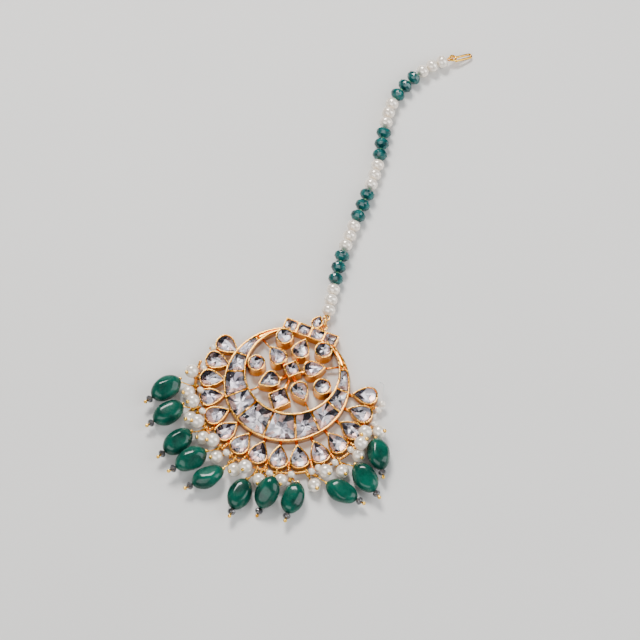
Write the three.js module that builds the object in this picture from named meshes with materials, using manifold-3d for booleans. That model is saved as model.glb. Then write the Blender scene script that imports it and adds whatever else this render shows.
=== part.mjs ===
// Maang tikka: a jewelled forehead pendant with a fringe, on a bead string that ends in a hair hook.
// Millimetres, +Z up. The pendant lies face up on its flat back, at z = 0. The origin is the centre
// of its ring, and +Y runs from the pendant towards the hook.
// Bearings are degrees seen from above. In the ring they run clockwise from the top (+Y), and in the
// crescent, the petals and the fringe they run from the bottom (-Y), positive towards +X.

import * as THREE from 'three';
import { mergeVertices } from 'three/addons/utils/BufferGeometryUtils.js';
import Module from 'manifold-3d';

const wasm = await Module();
wasm.setup();

// Metal
const backPlate = 0.5;
const cupWall = 0.5;
const barWall = 0.6;
const jointWidth = 0.9;
const jointBottom = 0.3;
const jointTop = 1.3;
const spokeWidth = 0.6;
const spokeBottom = 1.2;
const spokeTop = 1.9;
const jointOverlap = 0.8;
const wireSides = 5;

// Ring and crescent
const ringRadius = 14;
const ringWall = 0.6;
const ringHeight = 3;
const crescentWidth = 8.6;
const crescentWall = 0.6;
const crescentHeight = 2.6;
const partitionBearings = [-114, -89, -68.6, -45, -25, 0, 25, 45, 68.6, 89, 114];
const circleSides = 36;
const cellOuterSteps = 4;
const cellInnerSteps = 2;

// Stones in their cups
const stoneClearance = 0.3;
const stoneFloorGap = 0.3;
const pocketDepth = 1.5;
const girdleBelowRim = 0.15;
const crownHeight = 0.75;
const tableShare = 0.56;
const cupSides = 10;
const cornerCut = 0.12;
const pearBelly = 1.3;

// Centre cluster: lengths out from the ring's centre are shares of the ring's radius
const clusterHeight = 4.2;
const clusterPearWidth = 5.5;
const clusterPearLength = 6.8;
const clusterRoundSize = 5.3;
const clusterSquareReach = 3.15;
const lowerDiamondWidth = 7.6;
const lowerDiamondHeight = 8.4;
const lowerDiamondRise = 3.4;
const clusterRows = [
  { name: 'centre_square_stone', form: 'square', bearing: 0, out: 0, turn: 0 },
  { name: 'cluster_pear_stone_1', form: 'pear', bearing: 0, out: 0.525, turn: 0 },
  { name: 'cluster_pear_stone_2', form: 'pear', bearing: 66.5, out: 0.47, turn: 60 },
  { name: 'cluster_pear_stone_3', form: 'pear', bearing: 139.5, out: 0.555, turn: 136 },
  { name: 'cluster_pear_stone_4', form: 'pear', bearing: -139.5, out: 0.555, turn: -136 },
  { name: 'cluster_pear_stone_5', form: 'pear', bearing: -66.5, out: 0.47, turn: -56 },
  { name: 'cluster_round_stone_1', form: 'round', bearing: -34, out: 0.79, turn: 18 },
  { name: 'cluster_round_stone_2', form: 'round', bearing: 34, out: 0.79, turn: 18 },
  { name: 'cluster_round_stone_3', form: 'round', bearing: 101, out: 0.75, turn: 0 },
  { name: 'cluster_round_stone_4', form: 'round', bearing: -101, out: 0.765, turn: 0 },
  { name: 'lower_diamond_stone', form: 'diamond', bearing: 180, out: 0.707, turn: 0 },
];
const spokeBearings = [-61, 61, -137.5, 136.5];
const spokeInnerShare = 0.66;

// Bar above the ring, with its row of square cells
const barWidth = 17.3;
const barDepth = 3.9;
const barHeight = 3.2;
const barCells = 4;
const barShift = 0.3;

// Marquise cup above the bar
const marquiseWidth = 3.6;
const marquiseLength = 5;
const marquiseHeight = 2.6;
const marquiseShift = 0.45;
const marquiseTurn = -2;
const marquiseOverlap = 0.5;

// Petals round the crescent
const petalCount = 15;
const petalStep = 15;
const petalLength = 7.7;
const petalWidth = 5.8;
const petalHeight = 2.4;
const petalTipGap = 0.1;
const petalRowShift = 0.85;
const petalRowDrop = 0.65;

// Wire loops and the carrier wire that runs through them behind the petals
const loopWire = 0.5;
const carrierWire = 0.6;
const linkGap = 0.3;
const loopSink = 0.35;
const loopSegments = 10;
const petalsPerLoop = 2;
const carrierOut = 1;
const carrierEnd = 86;
const carrierSplit = 0.5;
const carrierLift = 0.15;
const carrierSteps = 12;

// Pearls of the fringe, on pins
const pearlSize = 4.1;
const pinWire = 0.45;
const wireStopSize = 1;
const upperPearlRise = 0.7;
const beadSides = 10;

// Places along the carrier are counted in fifths of a petal's step. A pearl's distance out from the
// carrier is a share of its size, and layer 1 lies on top of layer 0.
const pearlRows = [
  { place: -26, bearing: -75.5, out: 0.3, layer: 1 },
  { place: -22, bearing: -64.52, out: 0.47, layer: 0 },
  { place: -19, bearing: -56.1, out: 0.26, layer: 1 },
  { place: -17, bearing: -48.8, out: 0.7, layer: 0 },
  { place: -14, bearing: -42.8, out: 0.42, layer: 1 },
  { place: -11, bearing: -34.65, out: 0.57, layer: 0 },
  { place: -9, bearing: -27.9, out: 0.28, layer: 1 },
  { place: -6, bearing: -20.93, out: 0.79, layer: 0 },
  { place: -2, bearing: -8.38, out: 0.81, layer: 0 },
  { place: -1, bearing: -2.8, out: 0.51, layer: 1 },
  { place: 2, bearing: 6.3, out: 0.85, layer: 0 },
  { place: 6, bearing: 18, out: 0.64, layer: 0 },
  { place: 11, bearing: 35.6, out: 1.19, layer: 0 },
  { place: 14, bearing: 43.42, out: 0.56, layer: 0.6 },
  { place: 17, bearing: 52, out: 0.93, layer: 0 },
  { place: 22, bearing: 65, out: 0.62, layer: 0 },
  { place: 21, bearing: 69.5, out: 0.3, layer: 1 },
  { place: 26, bearing: 76.4, out: -0.01, layer: 1 },
  { place: 27, bearing: 83.1, out: 0.66, layer: 0 },
];

// Green drops on pins with a crystal rondelle and a ball
const dropLength = 10;
const dropWidth = 6.9;
const dropThickness = 5.2;
const dropEnd = 0.3;
const dropSquareness = 2.5;
const rondelleSize = 2.3;
const rondelleThickness = 1.8;
const rondelleFlat = 0.3;
const dropBallSize = 1.15;

// out is how far a drop's middle lies from the carrier, as a share of its length. heading is the
// bearing that its pin points to, roll turns it about the pin, and lift raises its inner end.
const dropRows = [
  { place: -23, bearing: -66.6, out: 0.85, heading: -31, roll: 30, lift: 0 },
  { place: -18, bearing: -54.2, out: 0.87, heading: -34, roll: 10, lift: 0 },
  { place: -13, bearing: -38.8, out: 0.93, heading: -27, roll: 15, lift: 0 },
  { place: -8, bearing: -27.9, out: 0.93, heading: -37, roll: 40, lift: 0 },
  { place: -4, bearing: -16.5, out: 0.97, heading: -38.9, roll: -15, lift: 0 },
  { place: 1, bearing: 0, out: 0.97, heading: 0, roll: 8, lift: 0 },
  { place: 3, bearing: 12.2, out: 0.76, heading: -5, roll: 0, lift: 30 },
  { place: 8, bearing: 24.25, out: 0.82, heading: 5, roll: -12, lift: 0 },
  { place: 12, bearing: 46.75, out: 0.95, heading: 81.5, roll: 10, lift: 0 },
  { place: 18, bearing: 59.05, out: 0.94, heading: 55.5, roll: -15, lift: 0 },
  { place: 23, bearing: 72.1, out: 0.67, heading: 31.8, roll: 15, lift: 0 },
];

// Jump ring, bead string and hook
const jumpRingReach = 1.6;
const jumpRingWire = 0.56;
const jumpRingHeading = -9;
const jumpRingSegments = 12;
const sideLoopDrop = 0.5;
const threadWire = 0.8;
const stringPearlSize = 4.1;
const stringPearlLength = 3.5;
const stringRondelleSize = 4.6;
const stringRondelleLength = 3.3;
const rondelleBelt = 0.3;
const rondelleSpacing = 0.7;
const pearlSpacing = 0.05;
const beadsPerGroup = 3;
const pearlGroups = 5;
const firstPearlGap = 0.15;
const hookWire = 0.7;
const hookLength = 6.4;
const hookWidth = 2;
const hookReturnShare = 0.8;
const hookSlope = 12;
const hookSteps = 12;
const hookBendSteps = 6;

// Where the bead string lies, seen from above, from the jump ring to the hook
const stringRoute = [
  [2.4, 21.5],
  [0.9, 29.4],
  [-1.1, 41.9],
  [-1.6, 53.2],
  [-1.9, 65.4],
  [-2.8, 76],
  [-5.2, 87],
  [-6.6, 97],
  [-4.8, 106.5],
  [-0.5, 114.5],
  [6.5, 122],
];

// Places that follow from the sizes: the crescent's circle touches the ring at the top
const crescentRadius = ringRadius + crescentWidth / 2;
const crescentCentre = new THREE.Vector2(0, ringRadius - crescentRadius);
const crescentEdge = crescentRadius + crescentWall / 2;
const petalCentre = new THREE.Vector2(petalRowShift, crescentCentre.y - petalRowDrop);
const petalTipRadius = crescentEdge + petalTipGap;
const petalEndRadius = petalTipRadius + petalLength;
const loopHole = carrierWire / 2 + linkGap;
const loopReach = loopHole + loopWire / 2;
const carrierRadius = petalEndRadius + carrierOut;
const petalLoopReach = (carrierOut + loopSink + loopReach) / 2;
const petalLoopRadius = petalEndRadius - loopSink + petalLoopReach;
const carrierHeight = carrierLift + petalLoopReach + loopWire / 2;
const placeStep = petalStep / 5;
const barCentre = new THREE.Vector2(barShift, ringRadius - ringWall / 2);
const marquiseCentre = new THREE.Vector2(
  barCentre.x + marquiseShift,
  barCentre.y + barDepth / 2 + marquiseLength / 2 - marquiseOverlap,
);

// Materials
const gold = new THREE.MeshStandardMaterial({ color: 0xe0a050, roughness: 0.2, metalness: 1 });
const crystal = new THREE.MeshStandardMaterial({ color: 0xdfe2ea, roughness: 0.05, metalness: 0.2 });
const pearl = new THREE.MeshStandardMaterial({ color: 0xefe6da, roughness: 0.25, metalness: 0 });
const emerald = new THREE.MeshStandardMaterial({ color: 0x0a6b52, roughness: 0.15, metalness: 0 });
const beads = new THREE.MeshStandardMaterial({ color: 0x7fb5a0, roughness: 0.2, metalness: 0 });

// Geometry helpers

// A point at a bearing from the bottom, counted from a centre.
function atBearing(centre, radius, bearing) {
  const angle = THREE.MathUtils.degToRad(bearing);
  return new THREE.Vector2(
    centre.x + radius * Math.sin(angle),
    centre.y - radius * Math.cos(angle),
  );
}

// The geometry with its shared corners merged and without triangles that have no area.
function closed(geometry) {
  const bare = new THREE.BufferGeometry();
  bare.setAttribute('position', geometry.getAttribute('position').clone());
  if (geometry.index) bare.setIndex(geometry.index.clone());
  const merged = mergeVertices(bare);
  const corners = [];
  for (let i = 0; i < merged.index.count; i += 3) {
    const [a, b, c] = [0, 1, 2].map((k) => merged.index.getX(i + k));
    if (a !== b && b !== c && c !== a) corners.push(a, b, c);
  }
  merged.setIndex(corners);
  return merged;
}

// The geometry as a solid that can be joined and cut.
function solid(geometry) {
  const merged = closed(geometry);
  return new wasm.Manifold(new wasm.Mesh({
    numProp: 3,
    vertProperties: new Float32Array(merged.getAttribute('position').array),
    triVerts: new Uint32Array(merged.index.array),
  }));
}

function join(solids) {
  return solids.reduce((all, next) => all.add(next));
}

// A solid back as a geometry.
function geometryOf(body) {
  const mesh = body.getMesh();
  const geometry = new THREE.BufferGeometry();
  geometry.setAttribute('position', new THREE.BufferAttribute(mesh.vertProperties, 3));
  geometry.setIndex(new THREE.BufferAttribute(mesh.triVerts, 1));
  geometry.computeVertexNormals();
  return geometry;
}

function prism(outline, bottom, top) {
  const shape = new THREE.Shape(outline);
  const geometry = new THREE.ExtrudeGeometry(shape, { depth: top - bottom, bevelEnabled: false });
  return geometry.translate(0, 0, bottom);
}

// A closed skin through outlines with equally many points, each at its own height.
function loft(sections) {
  const count = sections[0].outline.length;
  const points = sections.flatMap(({ outline, z }) => outline.flatMap((p) => [p.x, p.y, z]));
  const corners = [];
  for (let s = 0; s + 1 < sections.length; s += 1) {
    for (let i = 0; i < count; i += 1) {
      const a = s * count + i;
      const b = s * count + ((i + 1) % count);
      corners.push(a, b, b + count, a, b + count, a + count);
    }
  }
  const last = (sections.length - 1) * count;
  for (const [a, b, c] of THREE.ShapeUtils.triangulateShape(sections[0].outline, [])) {
    corners.push(c, b, a);
  }
  for (const [a, b, c] of THREE.ShapeUtils.triangulateShape(sections.at(-1).outline, [])) {
    corners.push(a + last, b + last, c + last);
  }
  const geometry = new THREE.BufferGeometry();
  geometry.setAttribute('position', new THREE.Float32BufferAttribute(points, 3));
  geometry.setIndex(corners);
  return geometry;
}

// A closed skin through round rings, each about its own middle and across its own direction.
function skin(rings) {
  const up = new THREE.Vector3(0, 0, 1);
  const points = rings.flatMap(({ middle, run, radius }) => {
    const across = new THREE.Vector3().crossVectors(up, run).normalize();
    return circleOutline(radius, beadSides).flatMap((p) => middle.clone()
      .addScaledVector(across, p.x).addScaledVector(up, p.y).toArray());
  });
  const tube = loft(rings.map((unused, i) => ({ outline: circleOutline(1, beadSides), z: i })));
  return tube.setAttribute('position', new THREE.Float32BufferAttribute(points, 3));
}

// A wire along a curve.
function wire(curve, diameter, steps) {
  const section = new THREE.Shape(circleOutline(diameter / 2, wireSides));
  return new THREE.ExtrudeGeometry(section, { steps, bevelEnabled: false, extrudePath: curve });
}

// A wire ring in the xy plane whose flat-sided hole is as wide as the round one.
function wireRing(reach, diameter, segments = loopSegments) {
  const corner = reach / Math.cos(Math.PI / segments);
  return new THREE.TorusGeometry(corner, diameter / 2, wireSides, segments);
}

function straightWire(from, to, diameter) {
  return wire(new THREE.LineCurve3(from, to), diameter, 1);
}

// Radius and distance along the pin for a round bead, without its two poles.
function roundProfile(diameter, length, middle) {
  const stations = [-0.95, -0.45, 0.45, 0.95];
  return stations.map((s) => [(diameter / 2) * Math.sqrt(1 - s * s), middle + (s * length) / 2]);
}

// A profile of radius and height turned about the z axis.
function turnedSkin(profile) {
  const points = profile.map(([radius, height]) => new THREE.Vector2(radius, height));
  return new THREE.LatheGeometry(points, beadSides).rotateX(Math.PI / 2);
}

// A geometry built on the z axis, turned onto a direction and moved to a point.
function along(geometry, direction, point) {
  const turn = new THREE.Quaternion().setFromUnitVectors(new THREE.Vector3(0, 0, 1), direction);
  return geometry.applyQuaternion(turn).translate(point.x, point.y, point.z);
}

// Outlines, counter-clockwise, pulled in evenly by an inset

function circleOutline(radius, sides, inset = 0) {
  return Array.from({ length: sides }, (unused, i) => {
    const angle = (2 * Math.PI * i) / sides;
    return new THREE.Vector2(Math.cos(angle), Math.sin(angle)).multiplyScalar(radius - inset);
  });
}

// A pear with its tip at +Y: x = w/2 * belly * sin t * sin(t/2), y = l/2 * cos t.
function pearOutline(width, length, inset = 0) {
  const tipShare = 1.45;
  const l = length - inset * (1 + tipShare);
  const w = width - 2 * inset;
  const shift = (inset * (1 - tipShare)) / 2;
  return Array.from({ length: cupSides }, (unused, i) => {
    const t = (-2 * Math.PI * i) / cupSides;
    const x = (w / 2) * pearBelly * Math.sin(t) * Math.sin(Math.abs(t) / 2);
    return new THREE.Vector2(x, (l / 2) * Math.cos(t) + shift);
  });
}

// A diamond with half diagonals a and b and its corners cut.
function diamondOutline(width, height, inset = 0) {
  const slant = Math.hypot(width, height);
  const a = width / 2 - (inset * slant) / height;
  const b = height / 2 - (inset * slant) / width;
  const corners = [[a, 0], [0, b], [-a, 0], [0, -b]].map(([x, y]) => new THREE.Vector2(x, y));
  return corners.flatMap((corner, i) => {
    const before = corners[(i + 3) % 4];
    const after = corners[(i + 1) % 4];
    return [corner.clone().lerp(before, cornerCut), corner.clone().lerp(after, cornerCut)];
  });
}

function squareOutline(side, inset = 0) {
  const diagonal = (side - 2 * inset) * Math.SQRT2;
  return turned(diamondOutline(diagonal, diagonal), 45);
}

// A pointed leaf: two parabolas between the tips, x = w/2 * (1 - (2y/l)^2).
function marquiseOutline(width, length, inset = 0) {
  const tipShare = 1.22;
  const l = length - 2 * tipShare * inset;
  const w = width - 2 * inset;
  const heights = [-1, -0.55, 0, 0.55, 1, 0.55, 0, -0.55];
  return heights.map((h, i) => {
    const side = i < heights.length / 2 ? 1 : -1;
    return new THREE.Vector2((side * w * (1 - h * h)) / 2, (h * l) / 2);
  });
}

// Where a line beside a ray from the origin meets a circle.
function sideMeetsCircle(bearing, beside, centre, radius) {
  const ray = atBearing(new THREE.Vector2(), 1, bearing);
  const across = new THREE.Vector2(-ray.y, ray.x);
  const start = across.multiplyScalar(beside).sub(centre);
  const run = -start.dot(ray) + Math.sqrt(start.dot(ray) ** 2 - start.lengthSq() + radius ** 2);
  return ray.multiplyScalar(run).add(start).add(centre);
}

// One cell of the crescent, between two partitions, the ring and the outer wall.
function cellOutline(from, to, inset) {
  const ringSide = { centre: new THREE.Vector2(), radius: ringRadius + inset };
  const outerSide = { centre: crescentCentre, radius: crescentRadius - inset };
  const arc = ({ centre, radius }, steps) => {
    const first = sideMeetsCircle(from, inset, centre, radius).sub(centre).angle();
    const last = sideMeetsCircle(to, -inset, centre, radius).sub(centre).angle();
    const sweep = THREE.MathUtils.euclideanModulo(last - first, 2 * Math.PI);
    return Array.from({ length: steps + 1 }, (unused, i) => {
      const angle = first + (sweep * i) / steps;
      return new THREE.Vector2(Math.cos(angle), Math.sin(angle)).multiplyScalar(radius).add(centre);
    });
  };
  return [...arc(outerSide, cellOuterSteps), ...arc(ringSide, cellInnerSteps).reverse()];
}

function turned(outline, degrees) {
  const angle = THREE.MathUtils.degToRad(degrees);
  return outline.map((p) => p.clone().rotateAround(new THREE.Vector2(), angle));
}

function moved(outline, place) {
  return outline.map((p) => p.clone().add(place));
}

// Settings and stones

// The stone for an outline family: vertical up to its girdle, then a crown up to its table.
function stoneGeometry(outlineAt, wall, rim, size) {
  const edge = wall + stoneClearance;
  const girdle = rim - girdleBelowRim;
  const tableInset = edge + (size / 2 - edge) * (1 - tableShare);
  return loft([
    { outline: outlineAt(edge), z: rim - pocketDepth + stoneFloorGap },
    { outline: outlineAt(edge), z: girdle },
    { outline: outlineAt(tableInset), z: girdle + crownHeight },
  ]);
}

// A cup with its pocket and its loose stone.
function cup(name, outlineAt, wall, rim, size) {
  return {
    name,
    block: solid(prism(outlineAt(0), 0, rim)),
    pocket: solid(prism(outlineAt(wall), rim - pocketDepth, rim + pocketDepth)),
    stone: stoneGeometry(outlineAt, wall, rim, size),
  };
}

function clusterPlace({ bearing, out }) {
  return atBearing(new THREE.Vector2(), out * ringRadius, 180 - bearing);
}

// Each form of cluster cup: its outline, the width that its stone's table follows, and its height.
const clusterForms = {
  square: {
    outlineAt: (inset) => diamondOutline(2 * clusterSquareReach, 2 * clusterSquareReach, inset),
    size: Math.SQRT2 * clusterSquareReach,
    rim: clusterHeight,
  },
  pear: {
    outlineAt: (inset) => pearOutline(clusterPearWidth, clusterPearLength, inset),
    size: clusterPearWidth,
    rim: clusterHeight,
  },
  round: {
    outlineAt: (inset) => circleOutline(clusterRoundSize / 2, cupSides, inset),
    size: clusterRoundSize,
    rim: clusterHeight,
  },
  diamond: {
    outlineAt: (inset) => diamondOutline(lowerDiamondWidth, lowerDiamondHeight, inset),
    size: lowerDiamondWidth / Math.SQRT2,
    rim: lowerDiamondRise,
  },
};

function clusterCup(row) {
  const { outlineAt, size, rim } = clusterForms[row.form];
  const place = clusterPlace(row);
  const placed = (inset) => moved(turned(outlineAt(inset), -row.turn), place);
  return cup(row.name, placed, cupWall, rim, size);
}

// A cup that is only a pocket in a larger piece of metal.
function cell(name, outlineAt, wall, rim, size) {
  return { ...cup(name, outlineAt, wall, rim, size), block: null };
}

function crescentCell(index) {
  const from = partitionBearings[index];
  const to = partitionBearings[index + 1];
  const middle = THREE.MathUtils.degToRad((from + to) / 2);
  const depth = (crescentWidth / 2) * (1 + Math.cos(middle));
  const size = Math.min(depth, ringRadius * THREE.MathUtils.degToRad(to - from));
  const outlineAt = (inset) => cellOutline(from, to, inset);
  return cell(`crescent_stone_${index + 1}`, outlineAt, crescentWall / 2, crescentHeight, size);
}

function barCell(index) {
  const pitch = (barWidth - barWall) / barCells;
  const x = barCentre.x + (index - (barCells - 1) / 2) * pitch;
  const side = Math.min(pitch, barDepth - barWall) + barWall / 2;
  const outlineAt = (inset) => moved(squareOutline(side, inset), new THREE.Vector2(x, barCentre.y));
  return cell(`bar_stone_${index + 1}`, outlineAt, barWall / 2, barHeight, side);
}

function marquiseCup() {
  const outlineAt = (inset) => moved(
    turned(marquiseOutline(marquiseWidth, marquiseLength, inset), marquiseTurn),
    marquiseCentre,
  );
  return cup('marquise_stone', outlineAt, cupWall, marquiseHeight, marquiseWidth);
}

// A petal cup with its stone fused in, its tip towards the crescent.
function petal(bearing) {
  const place = atBearing(petalCentre, petalTipRadius + petalLength / 2, bearing);
  const pear = (inset) => pearOutline(petalWidth, petalLength, inset);
  const outlineAt = (inset) => moved(turned(pear(inset), bearing), place);
  const tableInset = cupWall + (petalWidth / 2 - cupWall) * (1 - tableShare);
  return solid(loft([
    { outline: outlineAt(0), z: 0 },
    { outline: outlineAt(0), z: petalHeight },
    { outline: outlineAt(cupWall), z: petalHeight },
    { outline: outlineAt(tableInset), z: petalHeight + crownHeight - girdleBelowRim },
  ]));
}

// A straight bar of metal between two points seen from above.
function strut(from, to, width, bottom, top) {
  const run = to.clone().sub(from).normalize();
  const side = new THREE.Vector2(-run.y, run.x).multiplyScalar(width / 2);
  const outline = [
    from.clone().sub(side), to.clone().sub(side), to.clone().add(side), from.clone().add(side),
  ];
  return solid(prism(outline, bottom, top));
}

function petalBearing(index) {
  return (index - (petalCount - 1) / 2) * petalStep;
}

// A wire loop that stands upright across the carrier wire.
function carrierLoop(bearing, radius, reach) {
  const place = atBearing(petalCentre, radius, bearing);
  const angle = THREE.MathUtils.degToRad(bearing - 90);
  return wireRing(reach, loopWire).rotateX(Math.PI / 2).rotateZ(angle)
    .translate(place.x, place.y, carrierHeight);
}

function petalRow() {
  const pieces = [];
  for (let i = 0; i < petalCount; i += 1) {
    const bearing = petalBearing(i);
    pieces.push(petal(bearing));
    if (i % petalsPerLoop === 0 && Math.abs(bearing) < carrierEnd) {
      pieces.push(solid(carrierLoop(bearing, petalLoopRadius, petalLoopReach)));
    }
    const tip = atBearing(petalCentre, petalTipRadius + cupWall + jointOverlap, bearing);
    const inward = tip.clone().sub(crescentCentre);
    const root = crescentCentre.clone().add(inward.setLength(crescentRadius));
    pieces.push(strut(root, tip, jointWidth, jointBottom, jointTop));
  }
  return pieces;
}

function ringAndCrescent() {
  const disc = (radius, centre, bottom, top) => solid(
    prism(moved(circleOutline(radius, circleSides), centre), bottom, top),
  );
  const middle = new THREE.Vector2();
  const ring = disc(ringRadius + ringWall / 2, middle, 0, ringHeight);
  const hole = disc(ringRadius - ringWall / 2, middle, -ringHeight, 2 * ringHeight);
  const crescent = disc(crescentEdge, crescentCentre, 0, crescentHeight);
  return crescent.add(ring).subtract(hole);
}

// Low arms that tie the cluster's cups to the middle, and spokes that tie it to the ring.
function clusterTies() {
  const middle = new THREE.Vector2();
  const arms = clusterRows.filter(({ out, form }) => out > 0 && form !== 'round').map((row) => strut(
    middle, clusterPlace(row), jointWidth, jointBottom, jointTop,
  ));
  const spokes = spokeBearings.map((bearing) => strut(
    atBearing(middle, ringRadius * spokeInnerShare, 180 - bearing),
    atBearing(middle, ringRadius, 180 - bearing),
    spokeWidth, spokeBottom, spokeTop,
  ));
  const roundTies = clusterRows.filter(({ form }) => form === 'round').map((row) => strut(
    clusterPlace(row),
    clusterPlace(row).setLength(ringRadius),
    jointWidth, jointBottom, jointTop,
  ));
  return [...arms, ...spokes, ...roundTies];
}

// Jump ring: it stands upright through the marquise's side loop and the string's first eye
const sideLoopHole = jumpRingWire / 2 + linkGap;
const sideLoopReach = sideLoopHole + loopWire / 2;
const jumpRingHeight = jumpRingReach + jumpRingWire / 2 + carrierLift / 2;
const sideLoopPlace = new THREE.Vector2(
  marquiseCentre.x + marquiseWidth / 2 + sideLoopReach - loopSink / 2,
  marquiseCentre.y - sideLoopDrop,
);
const jumpRun = atBearing(new THREE.Vector2(), 1, 180 - jumpRingHeading);
const jumpRingPlace = sideLoopPlace.clone().addScaledVector(jumpRun, jumpRingReach);
const firstEyePlace = sideLoopPlace.clone().addScaledVector(jumpRun, 2 * jumpRingReach);

function flatLoop(reach, diameter, place, height) {
  return wireRing(reach, diameter).translate(place.x, place.y, height);
}

function jumpRing() {
  const ring = new THREE.TorusGeometry(jumpRingReach, jumpRingWire / 2, wireSides, jumpRingSegments);
  return ring.rotateX(Math.PI / 2).rotateZ(jumpRun.angle())
    .translate(jumpRingPlace.x, jumpRingPlace.y, jumpRingHeight);
}

// Fringe

function carrierArc(from, to) {
  return new THREE.CatmullRomCurve3(Array.from({ length: carrierSteps + 1 }, (unused, i) => {
    const p = atBearing(petalCentre, carrierRadius, from + ((to - from) * i) / carrierSteps);
    return new THREE.Vector3(p.x, p.y, carrierHeight);
  }));
}

// A pearl on its pin, out from the carrier wire: one profile turned about the pin.
function fringePearl({ place, bearing, out, layer }) {
  const root = atBearing(petalCentre, carrierRadius, place * placeStep);
  const start = new THREE.Vector3(root.x, root.y, carrierHeight);
  const spot = atBearing(petalCentre, carrierRadius + out * pearlSize, bearing);
  const height = pearlSize * (0.5 + layer * upperPearlRise);
  const middle = new THREE.Vector3(spot.x, spot.y, height);
  const run = middle.clone().sub(start);
  const pinLength = run.length();
  const profile = [
    [0, 0], [pinWire / 2, 0],
    ...roundProfile(pearlSize, pearlSize, pinLength),
    [0, pinLength + pearlSize / 2],
  ];
  return along(turnedSkin(profile), run.normalize(), start);
}

function pearlFringe(side) {
  const near = (side * carrierSplit) / 2;
  const half = near / carrierRadius / THREE.MathUtils.DEG2RAD;
  const carrier = wire(carrierArc(half, side * carrierEnd), carrierWire, carrierSteps);
  const end = atBearing(petalCentre, carrierRadius, side * carrierEnd);
  const stop = new THREE.IcosahedronGeometry(wireStopSize / 2, 0).translate(end.x, end.y, carrierHeight);
  const rows = pearlRows.filter(({ place }) => place * side > 0);
  return geometryOf(join([carrier, stop, ...rows.map(fringePearl)].map(solid)));
}

// The section of a drop: a circle pressed towards a rectangle, scaled to a width and a thickness.
function dropSection(width, thickness) {
  const power = 2 / dropSquareness;
  return circleOutline(1, beadSides).map((p) => new THREE.Vector2(
    (Math.sign(p.x) * Math.abs(p.x) ** power * width) / 2,
    (Math.sign(p.y) * Math.abs(p.y) ** power * thickness) / 2,
  ));
}

// Bead, rondelle and ball in one skin along -Y, wide along X, with the bead's middle at the origin.
function dropBody() {
  const stations = [-1, -0.8, -0.3, 0.3, 0.8, 1];
  const bead = stations.map((s) => {
    const fullness = dropEnd + (1 - dropEnd) * Math.sqrt(1 - Math.abs(s) ** dropSquareness);
    const outline = dropSection(dropWidth * fullness, dropThickness * fullness);
    return { outline, z: (s * dropLength) / 2 };
  });
  const rondelleStart = dropLength / 2;
  const ballStart = rondelleStart + rondelleThickness;
  const rounds = [
    [rondelleSize * rondelleFlat, rondelleStart],
    [rondelleSize / 2, rondelleStart + rondelleThickness / 2],
    [dropBallSize * rondelleFlat, ballStart],
    [dropBallSize / 2, ballStart + dropBallSize / 2],
    [dropBallSize * rondelleFlat, ballStart + dropBallSize],
  ];
  const ends = rounds.map(([radius, z]) => ({ outline: circleOutline(radius, beadSides), z }));
  return loft([...bead, ...ends]).rotateX(Math.PI / 2);
}

function greenDrop({ place, bearing, out, heading, roll, lift }) {
  const spot = atBearing(petalCentre, carrierRadius + out * dropLength, bearing);
  const tilt = THREE.MathUtils.degToRad(lift);
  const body = dropBody().rotateY(THREE.MathUtils.degToRad(roll)).rotateX(tilt)
    .rotateZ(THREE.MathUtils.degToRad(heading));
  body.computeBoundingBox();
  const middle = new THREE.Vector3(spot.x, spot.y, -body.boundingBox.min.z);
  body.translate(middle.x, middle.y, middle.z);
  const inward = atBearing(new THREE.Vector2(), -Math.cos(tilt), heading);
  const inner = new THREE.Vector3(inward.x, inward.y, Math.sin(tilt))
    .multiplyScalar(dropLength / 2 - jointOverlap).add(middle);
  const eye = carrierLoop(place * placeStep, carrierRadius, loopReach);
  const eyeFar = atBearing(petalCentre, carrierRadius + loopReach, place * placeStep);
  const neck = straightWire(new THREE.Vector3(eyeFar.x, eyeFar.y, carrierHeight), inner, pinWire);
  return geometryOf(join([eye, neck, body].map(solid)));
}

// Bead string and hook

// Each bead's kind and how far along the thread its middle lies.
function beadRow() {
  const row = [];
  let distance = stringPearlLength / 2;
  let before = null;
  for (let group = 0; group < 2 * pearlGroups - 1; group += 1) {
    const kind = group % 2 === 0
      ? { pearl: true, length: stringPearlLength, gap: pearlSpacing }
      : { pearl: false, length: stringRondelleLength, gap: rondelleSpacing };
    for (let i = 0; i < beadsPerGroup; i += 1) {
      if (before) distance += (before.length + kind.length + before.gap + kind.gap) / 2;
      row.push({ ...kind, distance, touching: i > 0 });
      before = kind;
    }
  }
  return row;
}

const stringHeight = stringRondelleSize / 2;
const stringStart = firstEyePlace.clone().addScaledVector(
  new THREE.Vector2(0, 1),
  jumpRingWire / 2 + linkGap + firstPearlGap,
);
const routeShift = stringStart.clone().sub(new THREE.Vector2(...stringRoute[0]));
const stringCurve = new THREE.CatmullRomCurve3(
  stringRoute.map(([x, y]) => new THREE.Vector3(x + routeShift.x, y + routeShift.y, stringHeight)),
);
const beadPlaces = beadRow();
const hookEyeReach = linkGap + hookWire / 2 + loopWire / 2;
const stringEnd = beadPlaces.at(-1).distance + stringPearlLength / 2 + firstPearlGap;

function pointOnString(distance) {
  return stringCurve.getPointAt(distance / stringCurve.getLength());
}

function runOnString(distance) {
  return stringCurve.getTangentAt(distance / stringCurve.getLength());
}

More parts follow.
